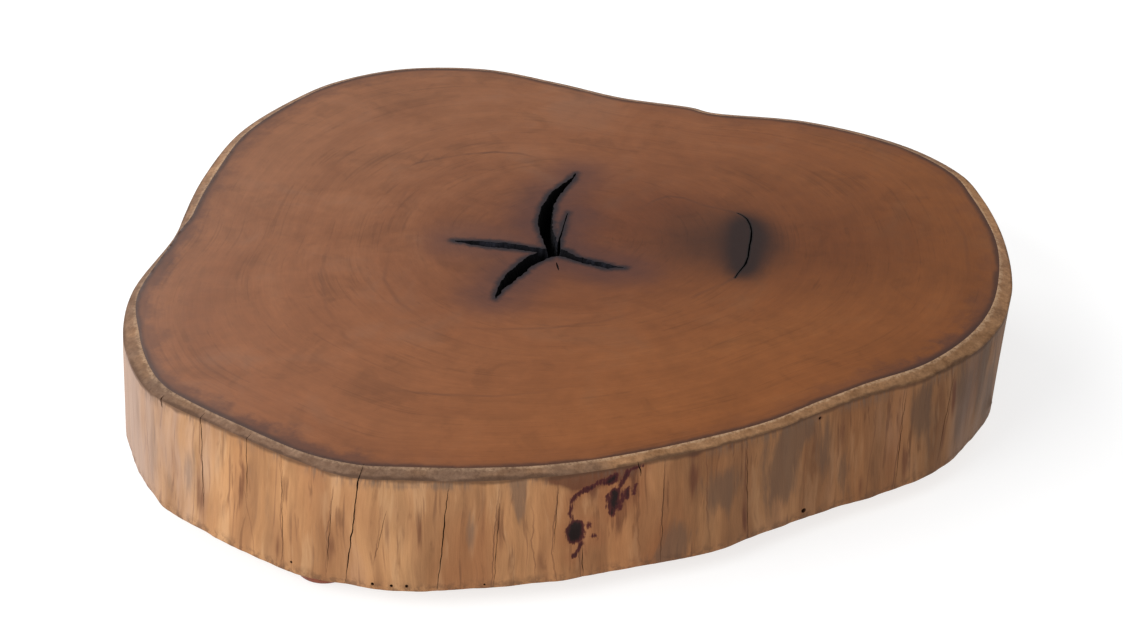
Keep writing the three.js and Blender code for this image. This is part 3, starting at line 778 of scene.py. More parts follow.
HAIRLINES = [
    [(2057, 90, 0.8), (2055, 62, 1), (2051, 41, 0.9), (2050, 13, 0.5), (2050, 4, 0)],
    [(1979, 90, 0.6), (1976, 61, 0.6), (1976, 42, 0.8), (1973, 23, 1), (1973, 1, 1)],
    [(2009, 46, 0.5), (2001, 21, 0.5), (1997, 1, 0.5)],
    [(1934, 74, 0.4), (1938, 39, 1), (1938, 4, 0.5)],
    [(1900, 64, 0.6), (1904, 30, 0.9), (1906, 22, 0.2)],
    [(1818, 78, 0.5), (1820, 55, 0.9), (1822, 41, 1), (1824, 4, 0.7)],
    [(1795, 70, 0.3), (1793, 52, 0.6), (1796, 37, 0.7), (1793, 16, 0.8), (1793, 3, 0.5)],
    [(1777, 90, 0.8), (1777, 67, 1), (1780, 46, 0.9), (1781, 26, 0.8), (1778, 4, 0.5)],
    [(1808, 30, 0.2), (1809, 14, 0.6), (1809, 1, 0.3)],
    [(1745, 40, 0.3), (1746, 4, 0.5)],
    [(1761, 30, 1), (1761, 1, 1)],
    [(1719, 88, 0.7), (1717, 9, 0.5)],
    [(1698, 88, 0.5), (1698, 62, 0.7), (1701, 35, 0.9), (1702, 2, 0.6)],
    [(1678, 84, 0.4), (1678, 48, 0.6)],
    [(1666, 80, 0.7), (1665, 40, 0.9), (1663, 3, 0.8)],
    [(1635, 90, 0.8), (1634, 53, 0.9), (1631, 8, 1)],
    [(1581, 60, 0.4), (1583, 3, 0.6)],
    [(1548, 84, 0.3), (1551, 50, 0.5), (1552, 6, 0.3)],
    [(1517, 90, 0.4), (1519, 58, 0.6), (1523, 31, 0.9), (1526, 5, 0.8)],
    [(1493, 90, 0.8), (1494, 65, 0.9), (1497, 36, 1), (1501, 3, 0.9)],
    [(1446, 86, 0.6), (1446, 48, 1), (1454, 18, 0.8), (1460, 3, 0.3)],
    [(1427, 88, 0.4), (1429, 49, 0.8), (1439, 24, 0.2)],
    [(1400, 84, 0.3), (1404, 40, 0.6), (1410, 10, 0.2)],
    [(2120, 84, 0.2), (2117, 50, 0.5), (2114, 16, 0.4)],
    [(2154, 80, 0.2), (2150, 30, 0.5)], [(95, 84, 0.5), (90, 30, 0.5)],
    [(190, 88, 0.5), (196, 20, 0.6)], [(262, 80, 0.4), (258, 6, 0.7)],
    [(372, 90, 0.6), (368, 34, 0.8)], [(455, 70, 0.4), (461, 4, 0.7)],
    [(560, 90, 0.6), (556, 22, 0.8)], [(648, 84, 0.5), (652, 8, 0.6)],
    [(830, 90, 0.7), (836, 14, 0.7)], [(915, 70, 0.4), (911, 4, 0.7)],
    [(985, 90, 0.6), (989, 40, 0.8)], [(1125, 86, 0.6), (1120, 10, 0.8)],
    [(1205, 90, 0.7), (1210, 30, 0.6)], [(1280, 76, 0.4), (1277, 6, 0.7)],
    [(1335, 88, 0.6), (1331, 18, 0.7)],
]

points = np.empty(len(slab.data.vertices) * 3)
slab.data.vertices.foreach_get("co", points)
points = points.reshape(-1, 3) / MM
points[:, :2] -= PLAN_SHIFT
flat = points[:, :2]
height = points[:, 2] - UNDER_Z
from_heart = flat - HEART
far = np.linalg.norm(from_heart, axis=1) + 1e-6
angle = np.arctan2(from_heart[:, 1], from_heart[:, 0])
share = far / reach_at(angle)
along = nearest_along(flat)
edge_place, edge_normal, _, edge_rim = edge_at(along)
inward = np.where(share > 0.75, -((flat - edge_place) * edge_normal).sum(1), 80.0)
follow = ease(share, 0.3, 1)
ring = far * (1 - follow) + share * MEAN_REACH * follow
turned = 2 * np.pi * along / ROUND
trunk = ROUND / 2 / np.pi
side_spot = np.stack([along, height], 1)
star_gap = np.min([line_gap(flat, arm) for arm in STAR_ARMS], axis=0)
knot_gap = np.min([line_gap(side_spot, mark) for mark in KNOT_MARKS], axis=0)
arc_offset, arc_strength = drawn_lines(flat, DARK_ARCS, 9.0)
hair_offset, hair_strength = drawn_lines(side_spot, HAIRLINES, 6.0)
fields = {
    "growth": np.stack([from_heart[:, 0] / far, from_heart[:, 1] / far, ring / 100], 1),
    "bark": np.stack([trunk * np.cos(turned), trunk * np.sin(turned), height], 1) / 1000,
    "rim_in": np.clip(inward - edge_rim, -20, 60),
    "rim_share": np.clip(inward / np.maximum(edge_rim, 1), -1, 2),
    "star_gap": np.clip(star_gap, 0, 80),
    "ring_gap": np.clip(line_gap(flat, RING_SHAKE), 0, 60),
    "arc_stain": spots(flat, ARC_STAINS),
    "heart_dark": spots(flat, DARK_HEARTWOOD),
    "painted_lit_lip": np.clip(spots(flat, PAINTED_LIT_LIPS), 0, 1),
    "arc_offset": arc_offset,
    "arc_strength": arc_strength,
    "hair_offset": hair_offset,
    "hair_strength": hair_strength,
    "grey_patch": spots(side_spot, GREY_PATCHES),
    "brown_stain": spots(side_spot, BROWN_STAINS),
    "knot_gap": np.clip(knot_gap, -8, 14),
    "drop": THICK - height,
    "under_rim": THICK - RIM_SLOPE * edge_rim - RIM_STEP - height,
}
fields.update({name: look_up(rows, along) for name, rows in EDGE_TABLES.items()})
for name, values in fields.items():
    keep(slab.data, name, values)


class Finish:
    """A material whose nodes are joined as they are added. An input may be a number, a colour or
    the output of another node."""

    def __init__(self, material):
        self.material = material
        material.use_nodes = True
        self.nodes = material.node_tree.nodes
        self.links = material.node_tree.links
        self.shader = self.nodes["Principled BSDF"]

    def feed(self, socket, value):
        """Link a node's output to the socket, or set the number or colour on it."""
        if isinstance(value, bpy.types.NodeSocket):
            self.links.new(value, socket)
        elif socket.type == "RGBA":
            socket.default_value = (*value, 1)
        else:
            socket.default_value = value

    def node(self, kind, inputs, output=0, **settings):
        """Add a node, set it up, feed its inputs, and give one of its outputs."""
        added = self.nodes.new("ShaderNode" + kind)
        for name, value in settings.items():
            setattr(added, name, value)
        for name, value in inputs.items():
            self.feed(added.inputs[name], value)
        return added.outputs[output]

    def here(self):
        """The place on the object, in metres."""
        return self.node("TexCoord", {}, "Object")

    def number(self, name):
        """A number kept on the mesh."""
        return self.node("Attribute", {}, "Fac", attribute_name=name)

    def vector(self, name):
        """A vector kept on the mesh."""
        return self.node("Attribute", {}, "Vector", attribute_name=name)

    def noise(self, place, stretch, detail=2.0, rough=0.5, warp=0.0):
        """Noise of 0 to 1, with as many features to a unit of each axis as stretch says."""
        scaled = self.node("VectorMath", {0: place, 1: stretch}, operation="MULTIPLY")
        inputs = {"Vector": scaled, "Scale": 1.0, "Detail": detail, "Roughness": rough}
        return self.node("TexNoise", {**inputs, "Distortion": warp}, 0)

    def maths(self, operation, a, b=0.0):
        """A sum of one value or two, such as ABSOLUTE or ADD."""
        return self.node("Math", {0: a, 1: b}, operation=operation)

    def ease(self, value, low, high, start=0.0, end=1.0):
        """Start below low, end above high, smooth between."""
        inputs = {"Value": value, "From Min": low, "From Max": high, "To Min": start, "To Max": end}
        return self.node("MapRange", inputs, "Result", interpolation_type="SMOOTHSTEP")

    def spread(self, value, start, end):
        """Noise's usual range, 0.3 to 0.7, drawn out to start and end in a straight line."""
        inputs = {"Value": value, "From Min": 0.3, "From Max": 0.7, "To Min": start, "To Max": end}
        return self.node("MapRange", inputs, "Result", clamp=False)

    def blend(self, share, a, b):
        """Colour a where the share is 0, colour b where it is 1, and straight between."""
        return self.node("Mix", {0: share, 6: a, 7: b}, 2, data_type="RGBA")

    def shade(self, colour, factor):
        """The colour times the factor."""
        inputs = {0: 1.0, 6: colour, 7: factor}
        return self.node("Mix", inputs, 2, data_type="RGBA", blend_type="MULTIPLY")

    def varied(self, colour, *noises):
        """The colour times each noise in turn, drawn out to the range that comes with it."""
        for noise, start, end in noises:
            colour = self.shade(colour, self.spread(noise, start, end))
        return colour

    def frayed(self, value, noise, start, end):
        """The value plus a noise drawn out to start and end, which frays the edge of a stain."""
        return self.maths("ADD", value, self.spread(noise, start, end))

    def product(self, *values):
        """All the values multiplied together."""
        result = values[0]
        for value in values[1:]:
            result = self.maths("MULTIPLY", result, value)
        return result

    def bump(self, height, strength, distance):
        """Tilt the surface by the slope of a height, as high as the distance in metres."""
        normal = self.node("Bump", {"Height": height, "Strength": strength, "Distance": distance})
        self.feed(self.shader.inputs["Normal"], normal)

    def done(self, **inputs):
        """Feed the shader's inputs, whose names have _ for a space, and give the material."""
        for name, value in inputs.items():
            self.feed(self.shader.inputs[name.replace("_", " ")], value)
        return self.material


slab_finishes = [Finish(material) for material in slab.data.materials]

# The sanded top: dark red-brown heartwood with close, mottled rings, a blue-black stain round
# the cracks, a dark line at its edge, a satin oil, and a painted sheen at the back left.
f = slab_finishes[TOP]
growth = f.vector("growth")
here = f.here()
broad = f.noise(growth, (0.8, 0.8, 2.4), 3, 0.55, 0.5)
rings = f.noise(growth, (2.6, 2.6, 12), 4, 0.62, 0.5)
fine_rings = f.noise(growth, (7.0, 7.0, 50), 3, 0.6)
pores = f.noise(growth, (22.0, 22.0, 120), 2, 0.6)
lines = f.noise(growth, (1.6, 1.6, 34), 2, 0.55, 0.3)
cloud = f.noise(here, (13, 13, 13), 5, 0.62, 0.6)
mottle = f.noise(here, (75, 75, 75), 5, 0.68)
colour = f.blend(f.spread(broad, 0.2, 0.8), (0.196, 0.066, 0.0245), (0.243, 0.088, 0.0335))
colour = f.varied(
    colour, (rings, 0.94, 1.06), (fine_rings, 0.965, 1.035), (pores, 0.965, 1.035),
    (cloud, 0.885, 1.115), (mottle, 0.93, 1.07))
worn = f.noise(here, (24, 24, 24), 4, 0.6, 0.8)
colour = f.shade(colour, f.ease(worn, 0.53, 0.68, 1, 0.87))
ring_line = f.product(f.ease(lines, 0.57, 0.67), f.ease(worn, 0.4, 0.6))
colour = f.shade(colour, f.ease(ring_line, 0, 0.8, 1.01, 0.88))
colour = f.blend(f.ease(cloud, 0.52, 0.72, 0, 0.3), colour, (0.17, 0.082, 0.046))
x_here = f.node("SeparateXYZ", {0: here}, 0)
dark = f.ease(f.number("heart_dark"), 0.0, 1.0)
colour = f.shade(colour, f.blend(dark, (1, 1, 1), (0.54, 0.47, 0.5)))
# Darker towards the right: partly the heartwood's own tone, partly painted shade.
colour = f.shade(colour, f.ease(x_here, 0.05, 0.36, 1.0, 0.84))
front_right = f.node("VectorMath", {0: here, 1: (0.75, -0.5, 0)}, 1, operation="DOT_PRODUCT")
colour = f.shade(colour, f.blend(f.ease(front_right, -0.06, 0.24), (1, 1, 1), (1, 0.93, 0.66)))
# Lighter and bluish-grey towards the back left, frayed by the cloud noise: a painted sheen of the satin
# oil.
back_left = f.node("VectorMath", {0: here, 1: (-0.7, 0.7, 0)}, 1, operation="DOT_PRODUCT")
painted_sheen_share = f.frayed(back_left, cloud, -0.08, 0.08)
colour = f.shade(colour, f.blend(f.ease(painted_sheen_share, -0.02, 0.32), (1, 1, 1), (1.03, 1.15, 1.34)))
arc_line = f.ease(f.maths("ABSOLUTE", f.number("arc_offset")), 0.2, 2.8, 1, 0)
broken = f.product(f.ease(mottle, 0.3, 0.6, 0.3, 0.8), f.ease(cloud, 0.34, 0.54, 0.25, 1))
colour = f.blend(f.product(arc_line, f.number("arc_strength"), broken, 0.8), colour, (0.06, 0.025, 0.016))
stain = f.frayed(f.number("arc_stain"), cloud, -0.1, 0.1)
colour = f.blend(f.ease(stain, 0.0, 1.3, 0, 0.97), colour, (0.019, 0.0095, 0.0085))
haze = f.ease(f.frayed(f.number("star_gap"), cloud, -9, 9), 0, 46, 0.56, 0)
colour = f.blend(haze, colour, (0.062, 0.028, 0.028))
ragged_gap = f.frayed(f.number("star_gap"), mottle, -2.0, 2.0)
colour = f.blend(f.ease(ragged_gap, 0.4, 6.8, 0.92, 0), colour, (0.012, 0.010, 0.014))
colour = f.blend(f.ease(f.number("ring_gap"), 0.0, 1.6, 0.85, 0), colour, (0.008, 0.006, 0.006))
rim_in = f.number("rim_in")
smudge_noise = f.noise(here, (38, 38, 38), 4, 0.65)
smudge_reach = f.frayed(rim_in, smudge_noise, 12, -12)
smudge = f.product(f.ease(smudge_reach, 2, 22, 1, 0), f.number("smudge"))
colour = f.blend(f.product(smudge, 0.72), colour, (0.055, 0.024, 0.02))
edge_line = f.ease(f.frayed(rim_in, smudge_noise, -1.6, 1.6), 1.0, 6.0, 0.75, 0)
colour = f.blend(edge_line, colour, (0.04, 0.02, 0.016))
f.bump(f.maths("ADD", f.product(fine_rings, 0.5), f.product(pores, 0.5)), 0.12, 0.0004)
f.done(Base_Color=colour, Roughness=f.spread(mottle, 0.38, 0.46), Specular_IOR_Level=0.12)

# The shaved rim: sapwood that weathered grey-brown on the left and stayed tan on the right, with
# a painted highlight on its speckled inner edge, and painted shade in the corner under it.
f = slab_finishes[RIM]
here = f.here()
patchy = f.noise(here, (26, 26, 26), 4, 0.6)
speckle = f.noise(here, (420, 420, 420), 4, 0.7)
blotchy = f.noise(here, (95, 95, 95), 4, 0.6)
tan = f.frayed(f.number("rim_tan"), patchy, -0.25, 0.25)
grey_rim = f.blend(f.spread(blotchy, 0, 1), (0.125, 0.066, 0.038), (0.2, 0.118, 0.074))
tan_rim = f.blend(f.spread(blotchy, 0, 1), (0.235, 0.115, 0.05), (0.4, 0.215, 0.105))
colour = f.blend(f.ease(tan, 0.1, 0.9), grey_rim, tan_rim)
colour = f.varied(colour, (speckle, 0.78, 1.22))
# The rim's tone, brighter along the back by a painted highlight.
colour = f.shade(colour, f.number("rim_tone_and_highlight"))
share_in = f.number("rim_share")
inner = f.frayed(share_in, blotchy, -0.12, 0.12)
# A light speckled band along the inner edge: a painted highlight on the arris.
painted_arris_highlight = f.product(f.ease(inner, 0.66, 0.92), f.ease(speckle, 0.36, 0.58, 0.1, 0.75))
painted_arris_highlight = f.product(painted_arris_highlight, f.ease(tan, -0.1, 0.8, 0.3, 0.8))
colour = f.blend(painted_arris_highlight, colour, (0.47, 0.32, 0.2))
# Dark along the outer edge, over the step down to the side: painted shade.
painted_step_shade = f.frayed(share_in, patchy, 0.28, -0.28)
colour = f.blend(f.ease(painted_step_shade, -0.05, 0.26, 0.7, 0), colour, (0.06, 0.03, 0.018))
f.bump(speckle, 0.5, 0.0008)
f.done(Base_Color=colour, Roughness=0.74, Specular_IOR_Level=0.15)

# The peeled side: pale sapwood with soft broken streaks down the grain, grey weathered patches,
# brown stains and hairlines, a knot that bled dark red, a soiled lower edge, a painted sheen
# towards its ends, and painted shade under the rim.
f = slab_finishes[SIDE]
bark = f.vector("bark")
wander = f.node("TexNoise", {"Vector": bark, "Scale": 16.0, "Detail": 1.0}, 1)
offset = f.node("VectorMath", {0: wander, 1: (0.012, 0.012, 0.0)}, operation="MULTIPLY")
grain = f.node("VectorMath", {0: bark, 1: offset}, operation="ADD")
band = f.noise(grain, (24, 24, 7), 3, 0.55)
streak = f.noise(grain, (85, 85, 13), 4, 0.6)
thread = f.noise(grain, (420, 420, 34), 4, 0.68)
cloud = f.noise(bark, (34, 34, 20), 4, 0.6)
colour = f.blend(f.spread(band, 0, 1), (0.36, 0.175, 0.075), (0.53, 0.29, 0.135))
colour = f.varied(colour, (streak, 0.86, 1.12), (thread, 0.91, 1.08), (cloud, 0.92, 1.06))
edges = f.spread(thread, -0.03, 0.03)
panel = f.maths("ADD", f.noise(grain, (44, 44, 6.5), 1, 0.5), edges)
colour = f.shade(colour, f.blend(f.ease(panel, 0.465, 0.55), (1.05, 1.04, 1.03), (0.84, 0.81, 0.81)))
flame = f.maths("ADD", f.noise(grain, (70, 70, 11), 3, 0.6), edges)
colour = f.blend(f.ease(flame, 0.54, 0.66, 0, 0.32), colour, (0.58, 0.35, 0.185))
reddish = f.ease(f.noise(bark, (13, 13, 6), 3, 0.5), 0.5, 0.66, 0, 0.5)
colour = f.blend(reddish, colour, (0.33, 0.135, 0.055))
wisp_noise = f.noise(grain, (170, 170, 17), 3, 0.62, 0.4)
long_line = f.ease(f.noise(grain, (230, 230, 4.5), 2, 0.5), 0.6, 0.68)
long_line = f.product(long_line, f.ease(cloud, 0.36, 0.56, 0.1, 0.55))
colour = f.blend(long_line, colour, (0.15, 0.066, 0.034))
wisp = f.product(f.ease(wisp_noise, 0.56, 0.67), f.ease(cloud, 0.42, 0.58))
colour = f.blend(f.product(wisp, 0.6), colour, (0.17, 0.075, 0.035))
grey = f.frayed(f.number("grey_patch"), streak, 0.36, -0.36)
grey = f.frayed(grey, thread, -0.14, 0.14)
colour = f.blend(f.ease(grey, 0.28, 0.82, 0, 0.74), colour, (0.195, 0.118, 0.075))
# A pale grey veil towards the left and right ends of the side, where it turns away: painted sheen.
sheen_share = f.frayed(f.number("side_painted_sheen"), band, -0.3, 0.3)
sheen_share = f.frayed(sheen_share, streak, -0.16, 0.16)
colour = f.blend(f.ease(sheen_share, 0.05, 1.0, 0, 0.85), colour, (0.43, 0.305, 0.245))
colour = f.shade(colour, f.blend(f.number("side_red"), (1, 1, 1), (1.04, 0.82, 0.7)))
colour = f.shade(colour, f.number("side_tone"))
near_knot = f.number("knot_gap")
colour = f.blend(f.ease(near_knot, 0, 11, 0.5, 0), colour, (0.27, 0.1, 0.04))
brown = f.frayed(f.number("brown_stain"), wisp_noise, -0.24, 0.24)
colour = f.blend(f.ease(brown, 0.12, 0.9, 0, 0.85), colour, (0.11, 0.038, 0.019))
hair_wander = f.noise(bark, (45, 45, 70), 3, 0.6)
hair = f.frayed(f.number("hair_offset"), hair_wander, -0.9, 0.9)
hair = f.ease(f.maths("ABSOLUTE", hair), 0.15, 0.75, 1, 0)
hair = f.product(hair, f.number("hair_strength"), f.ease(cloud, 0.34, 0.56, 0.45, 1.0))
colour = f.blend(f.product(hair, 0.78), colour, (0.125, 0.05, 0.025))
below = f.number("under_rim")
# Grey streaks fading down from the rim over 12 mm: painted shade of the rim, broken by the grain.
streaked_rim_shade = f.product(f.ease(below, 0, 12, 1, 0), f.ease(thread, 0.4, 0.6), f.ease(cloud, 0.38, 0.58))
colour = f.blend(f.product(streaked_rim_shade, 0.65), colour, (0.13, 0.085, 0.06))
# A thin dark line just under the rim's step: painted shade.
painted_step_shadow_line = f.ease(f.frayed(below, cloud, -2, 2), 0.3, 3.4, 0.7, 0)
colour = f.blend(painted_step_shadow_line, colour, (0.075, 0.036, 0.02))
up = f.node("SeparateXYZ", {0: bark}, 2)
soil_noise = f.noise(bark, (150, 150, 150), 3, 0.7)
soil = f.product(f.ease(up, 0.001, 0.011, 1, 0), f.ease(soil_noise, 0.42, 0.62))
colour = f.blend(f.product(soil, 0.62), colour, (0.1, 0.05, 0.028))
blotch = f.noise(bark, (230, 230, 150), 4, 0.65)
fray = f.noise(grain, (800, 800, 90), 3, 0.6)
gap = f.frayed(near_knot, blotch, -0.9, 0.9)
gap = f.frayed(gap, fray, -0.8, 0.8)
bled = f.blend(f.ease(gap, -3.2, 0.2), (0.0035, 0.0015, 0.003), (0.065, 0.012, 0.012))
colour = f.blend(f.ease(gap, -0.4, 1.0, 0.97, 0), colour, bled)
f.bump(f.maths("ADD", f.product(thread, 0.6), f.product(streak, 0.6)), 0.45, 0.0012)
f.done(Base_Color=colour, Roughness=f.spread(streak, 0.66, 0.78), Specular_IOR_Level=0.15)

# The sawn underside: the same rings, paler and dry, with the marks of the chain saw across them.
f = slab_finishes[UNDER]
growth = f.vector("growth")
here = f.here()
rings = f.noise(growth, (1.4, 1.4, 13), 4, 0.6, 0.3)
fine_rings = f.noise(growth, (3.0, 3.0, 48), 3, 0.6)
saw = f.noise(here, (16, 340, 16), 2, 0.5)
dust = f.noise(here, (120, 120, 120), 4, 0.65)
heartwood = f.blend(f.spread(rings, 0, 1), (0.22, 0.115, 0.065), (0.31, 0.175, 0.105))
colour = f.blend(f.ease(f.number("rim_in"), -9, 3), (0.42, 0.28, 0.17), heartwood)
colour = f.varied(colour, (fine_rings, 0.92, 1.08), (saw, 0.88, 1.1), (dust, 0.92, 1.08))
colour = f.blend(f.ease(f.number("star_gap"), 4, 60, 0.45, 0), colour, (0.08, 0.05, 0.04))
f.bump(saw, 0.6, 0.0014)
f.done(Base_Color=colour, Roughness=0.8)

# The walls of the heart's cracks: blue-black, with painted light on the walls near the lips of the
# two side arms, and painted shade that darkens them with depth.
f = slab_finishes[TOP_WALL]
here = f.here()
torn = f.noise(here, (300, 300, 90), 4, 0.65)
patch = f.noise(here, (55, 55, 55), 3, 0.6)
bluish = f.blend(f.spread(torn, 0, 1), (0.004, 0.004, 0.006), (0.03, 0.031, 0.044))
# Lighter blue-grey near the lips of the side arms: painted light on the far wall.
lit = f.product(f.ease(patch, 0.4, 0.6, 0.3, 1), f.number("painted_lit_lip"))
colour = f.blend(lit, (0.0022, 0.002, 0.0026), bluish)
# Darker from 2 to 14 mm below the top: painted shade deep in the crack.
colour = f.blend(f.ease(f.number("drop"), 2, 14), colour, (0.002, 0.002, 0.0025))
f.bump(torn, 0.8, 0.002)
f.done(Base_Color=colour, Roughness=0.8, Specular_IOR_Level=0.1)

# The walls of the side's checks and the flight holes: dark brown.
f = slab_finishes[SIDE_WALL]
bark = f.vector("bark")
dark_grain = f.noise(bark, (300, 300, 40), 3, 0.6)
colour = f.blend(dark_grain, (0.03, 0.0125, 0.007), (0.12, 0.05, 0.025))
f.done(Base_Color=colour, Roughness=0.85, Specular_IOR_Level=0.1)


def smooth(piece, sharpest):
    """Shade a piece smoothly, apart from edges that turn by more than an angle in degrees."""
    piece.data.polygons.foreach_set("use_smooth", [True] * len(piece.data.polygons))
    piece.data.set_sharp_from_angle(angle=math.radians(sharpest))


smooth(slab, 38)
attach(slab, "root")
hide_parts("slab")

# The feet: three turned discs of dark-stained hardwood with eased edges. Each is bored and
# countersunk, and its screw holds it 0.3 mm under the slab.
FOOT_TURN = 144
FOOT_HIGH = UNDER_Z - 0.3
SHANK_HOLE = 2.8
SINK_HOLE = 5.2
FOOT_PROFILE = [
    (SHANK_HOLE, 3.7), (SINK_HOLE, 1.3), (SINK_HOLE, 0.25), (SINK_HOLE + 0.25, 0.0), (10, 0.0),
    (15, 0.0), (19.0, 0.0), (19.6, 0.05), (20.3, 0.22), (21.0, 0.6), (21.5, 1.2), (21.8, 2.0),
    (21.94, 3.2), (22.0, 4.6), (22.0, 7.4), (21.95, 7.9), (21.86, 8.2), (21.95, 8.5), (21.97, 9.0),
    (21.95, 11.4), (21.8, 13.0), (21.5, 14.0), (21.1, 14.7), (20.6, 15.25), (20.0, 15.6),
    (19.3, FOOT_HIGH), (14, FOOT_HIGH), (8, FOOT_HIGH), (SHANK_HOLE, FOOT_HIGH),
    (SHANK_HOLE, 12.0), (SHANK_HOLE, 8.0),
]


def turned_ring(profile, count, middle):
    """A profile of radius and height turned round an upright axis into a closed ring."""
    profile = np.array(profile, float)
    turn = np.arange(count) * 2 * np.pi / count
    x = middle[0] + profile[:, :1] * np.cos(turn)
    y = middle[1] + profile[:, :1] * np.sin(turn)
    z = np.repeat(profile[:, 1:], count, 1)
    rows = len(profile)
    i, j = np.meshgrid(np.arange(rows), np.arange(count), indexing="ij")
    a = i * count + j
    b = i * count + (j + 1) % count
    c = (i + 1) % rows * count + (j + 1) % count
    d = (i + 1) % rows * count + j
    quads = np.stack([a, b, c, d], -1).reshape(-1, 4)
    return np.stack([x, y, z], -1).reshape(-1, 3), halved(quads)


f = Finish(bpy.data.materials.new("stained foot"))
here = f.here()
figure = f.noise(here, (40, 260, 260), 4, 0.6, 0.6)
pores = f.noise(here, (90, 1100, 1100), 2, 0.6)
colour = f.blend(f.spread(figure, 0, 1), (0.15, 0.036, 0.018), (0.28, 0.075, 0.036))
colour = f.varied(colour, (pores, 0.82, 1.12))
f.bump(pores, 0.25, 0.0004)
satin = f.spread(figure, 0.34, 0.46)
foot_finish = f.done(Base_Color=colour, Roughness=satin, Specular_IOR_Level=0.25)
for i, place in enumerate(FOOT_PLACES):
    foot = object_from(f"turned_foot_{i + 1}", *turned_ring(FOOT_PROFILE, FOOT_TURN, place))
    foot.data.materials.append(foot_finish)
    smooth(foot, 50)
    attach(foot, "root")
    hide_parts(f"foot_{i + 1}")

# The screws: zinc-plated countersunk wood screws, 41 mm long, driven up through the feet into
# the slab's pilot holes. Each has a cross recess and a thread on its upper part.
SCREW_TURN = 48
SCREW_HEAD_Z = 1.0
SCREW_TIP_Z = 42.0
SCREW_CREST = 2.5
SCREW_CORE = 1.75
SCREW_SHANK = 2.1
HEAD_RADIUS = 4.9
THREAD_PITCH = 2.2
THREAD_LOW = 13.0
# Half of the length and width of the recess's bars, at their mouth and at their top, and heights.
RECESS_ENDS = [(2.7, 0.55, 0.5), (1.1, 0.4, 3.0)]


def screw_shape(middle):
    """Rows up the screw. The radius is the core's plus a crest that rises and falls once in each
    pitch, with a start that turns with the angle. It tapers to the tip, and below the thread come
    the plain shank and the five rows of the head."""
    turn = np.arange(SCREW_TURN) * 2 * np.pi / SCREW_TURN
    heights = np.concatenate([
        [SCREW_HEAD_Z, SCREW_HEAD_Z, SCREW_HEAD_Z + 0.25, SCREW_HEAD_Z + 2.65, SCREW_HEAD_Z + 3.4],
        np.arange(6.0, SCREW_TIP_Z - 0.2, 0.22)])
    radius = np.full((len(heights), SCREW_TURN), SCREW_CORE)
    phase = (heights[:, None] / THREAD_PITCH - turn / (2 * np.pi)) % 1
    crest = np.clip(1 - np.abs(phase - 0.5) / 0.24, 0, 1) ** 0.8
    grown = ease(heights, THREAD_LOW, THREAD_LOW + 2)[:, None]
    taper = (1 - 0.96 * ease(heights, SCREW_TIP_Z - 8.5, SCREW_TIP_Z))[:, None]
    radius = (radius + (SCREW_CREST - SCREW_CORE) * crest * grown) * taper
    radius[heights < THREAD_LOW] = SCREW_SHANK
    radius[:5] = np.array([3.2, HEAD_RADIUS - 0.15, HEAD_RADIUS, 2.5, SCREW_SHANK])[:, None]
    x = middle[0] + radius * np.cos(turn)
    y = middle[1] + radius * np.sin(turn)
    z = np.repeat(heights[:, None], SCREW_TURN, 1)
    rows = [np.array([[middle[0], middle[1], SCREW_HEAD_Z]])]
    rows += list(np.stack([x, y, z], -1))
    rows += [np.array([[middle[0], middle[1], SCREW_TIP_Z]])]
    return closed_body(rows)


def recess_shape(middle):
    """Two bars crossed in the screw's head. Each tapers upwards, from the rectangle at its mouth
    to a smaller one, and the second is the first given a quarter turn."""
    quads = np.array([(0, 3, 2, 1), (4, 5, 6, 7), (0, 1, 5, 4), (1, 2, 6, 5), (2, 3, 7, 6), (3, 0, 4, 7)])
    triangles = quads[:, [0, 1, 2, 0, 2, 3]].reshape(-1, 3)
    corners = [(side * half_x, end * half_y, z) for half_x, half_y, z in RECESS_ENDS
               for side, end in ((-1, -1), (1, -1), (1, 1), (-1, 1))]
    shapes = []
    for c, s in ((1, 0), (0, 1)):
        bar = [(middle[0] + c * x - s * y, middle[1] + s * x + c * y, z) for x, y, z in corners]
        shapes.append((np.array(bar), triangles))
    return shapes


f = Finish(bpy.data.materials.new("zinc plate"))
here = f.here()
dull = f.noise(here, (500, 500, 500), 4, 0.6)
colour = f.blend(dull, (0.5, 0.5, 0.47), (0.72, 0.72, 0.7))
screw_finish = f.done(Base_Color=colour, Metallic=1.0, Roughness=f.spread(dull, 0.25, 0.42))
for i, place in enumerate(FOOT_PLACES):
    screw = object_from(f"wood_screw_{i + 1}", *screw_shape(place))
    screw.data.materials.append(screw_finish)
    for k, bar in enumerate(recess_shape(place)):
        cut(screw, f"recess_{i}_{k}", bar, 0)
    smooth(screw, 40)
    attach(screw, "root")
    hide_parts(f"screw_{i + 1}")

# The stage: a plain pale floor, a large soft key light at the front left, a soft panel at the
# back left whose sheen falls on the oiled top, an even world, and the camera.
FLOOR_HALF = 8
LIT_HEIGHT = 0.1
PITCH = math.radians(31)
LENS = 73.73
SENSOR = 36
DISTANCE = 1.771
AIM = ((-12.334 + PLAN_SHIFT[0]) * MM, (-120.995 + PLAN_SHIFT[1]) * MM, TOP_Z * MM)

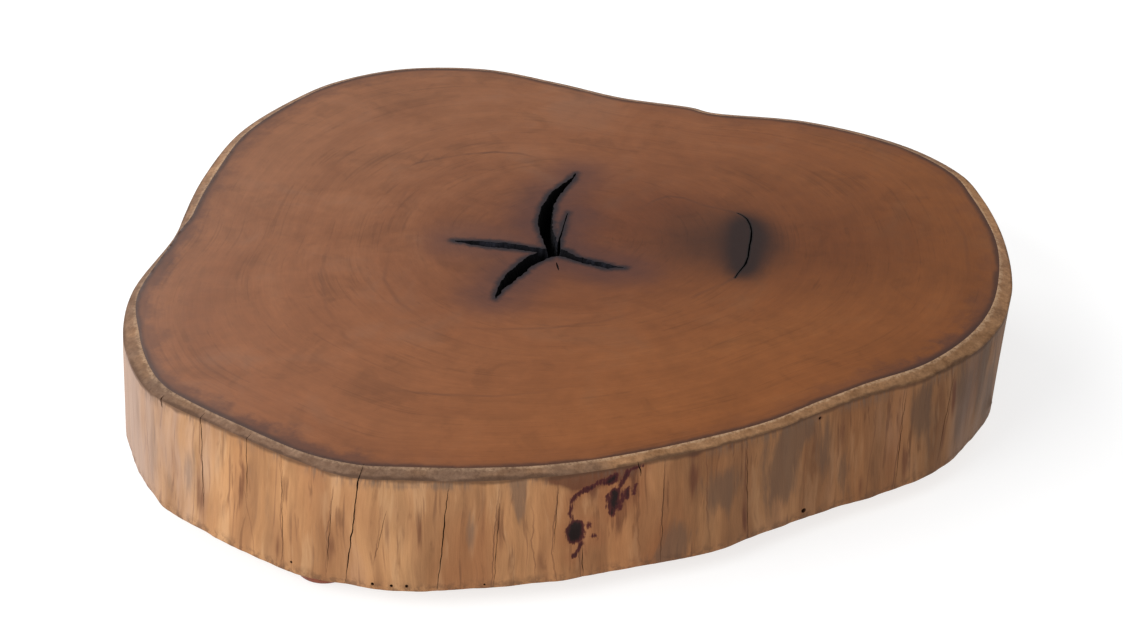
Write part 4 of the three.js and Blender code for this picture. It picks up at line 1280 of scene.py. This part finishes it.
floor_mesh = bpy.data.meshes.new("floor")
floor_corners = [(x * FLOOR_HALF, y * FLOOR_HALF, 0) for x, y in ((-1, -1), (1, -1), (1, 1), (-1, 1))]
floor_mesh.from_pydata(floor_corners, [], [(0, 1, 2, 3)])
floor = bpy.data.objects.new("floor", floor_mesh)
bpy.context.scene.collection.objects.link(floor)
f = Finish(bpy.data.materials.new("pale floor"))
floor_mesh.materials.append(f.done(
    Base_Color=(0.36, 0.36, 0.36), Roughness=0.9, Specular_IOR_Level=0.1,
    Emission_Color=(1, 1, 1), Emission_Strength=0.72))


def soft_light(name, azimuth, elevation, distance, size, power):
    """An oblong area light at a distance from the slice, turned to look at it. Its direction is
    given in degrees round from +X and up."""
    light = bpy.data.lights.new(name, "AREA")
    light.shape = "RECTANGLE"
    light.size, light.size_y = size
    light.energy = power
    lamp = bpy.data.objects.new(name, light)
    az, el = math.radians(azimuth), math.radians(elevation)
    lamp.location = (distance * math.cos(el) * math.cos(az), distance * math.cos(el) * math.sin(az),
                     LIT_HEIGHT + distance * math.sin(el))
    lamp.rotation_euler = (math.pi / 2 - el, 0, az + math.pi / 2)
    bpy.context.scene.collection.objects.link(lamp)


soft_light("key", 211, 32, 6.0, (4.6, 3.6), 330)
soft_light("sheen", 128, 30, 4.2, (2.4, 1.6), 85)

camera_data = bpy.data.cameras.new("camera")
camera_data.lens = LENS
camera_data.sensor_width = SENSOR
camera = bpy.data.objects.new("camera", camera_data)
camera.location = (AIM[0], AIM[1] - DISTANCE * math.cos(PITCH), AIM[2] + DISTANCE * math.sin(PITCH))
camera.rotation_euler = (math.pi / 2 - PITCH, 0, 0)
bpy.context.scene.collection.objects.link(camera)
bpy.context.scene.camera = camera

world = bpy.data.worlds.new("studio")
bpy.context.scene.world = world
world.use_nodes = True
world.node_tree.nodes["Background"].inputs["Color"].default_value = (1, 1, 1, 1)
world.node_tree.nodes["Background"].inputs["Strength"].default_value = 0.5
bpy.context.scene.view_settings.view_transform = "Standard"
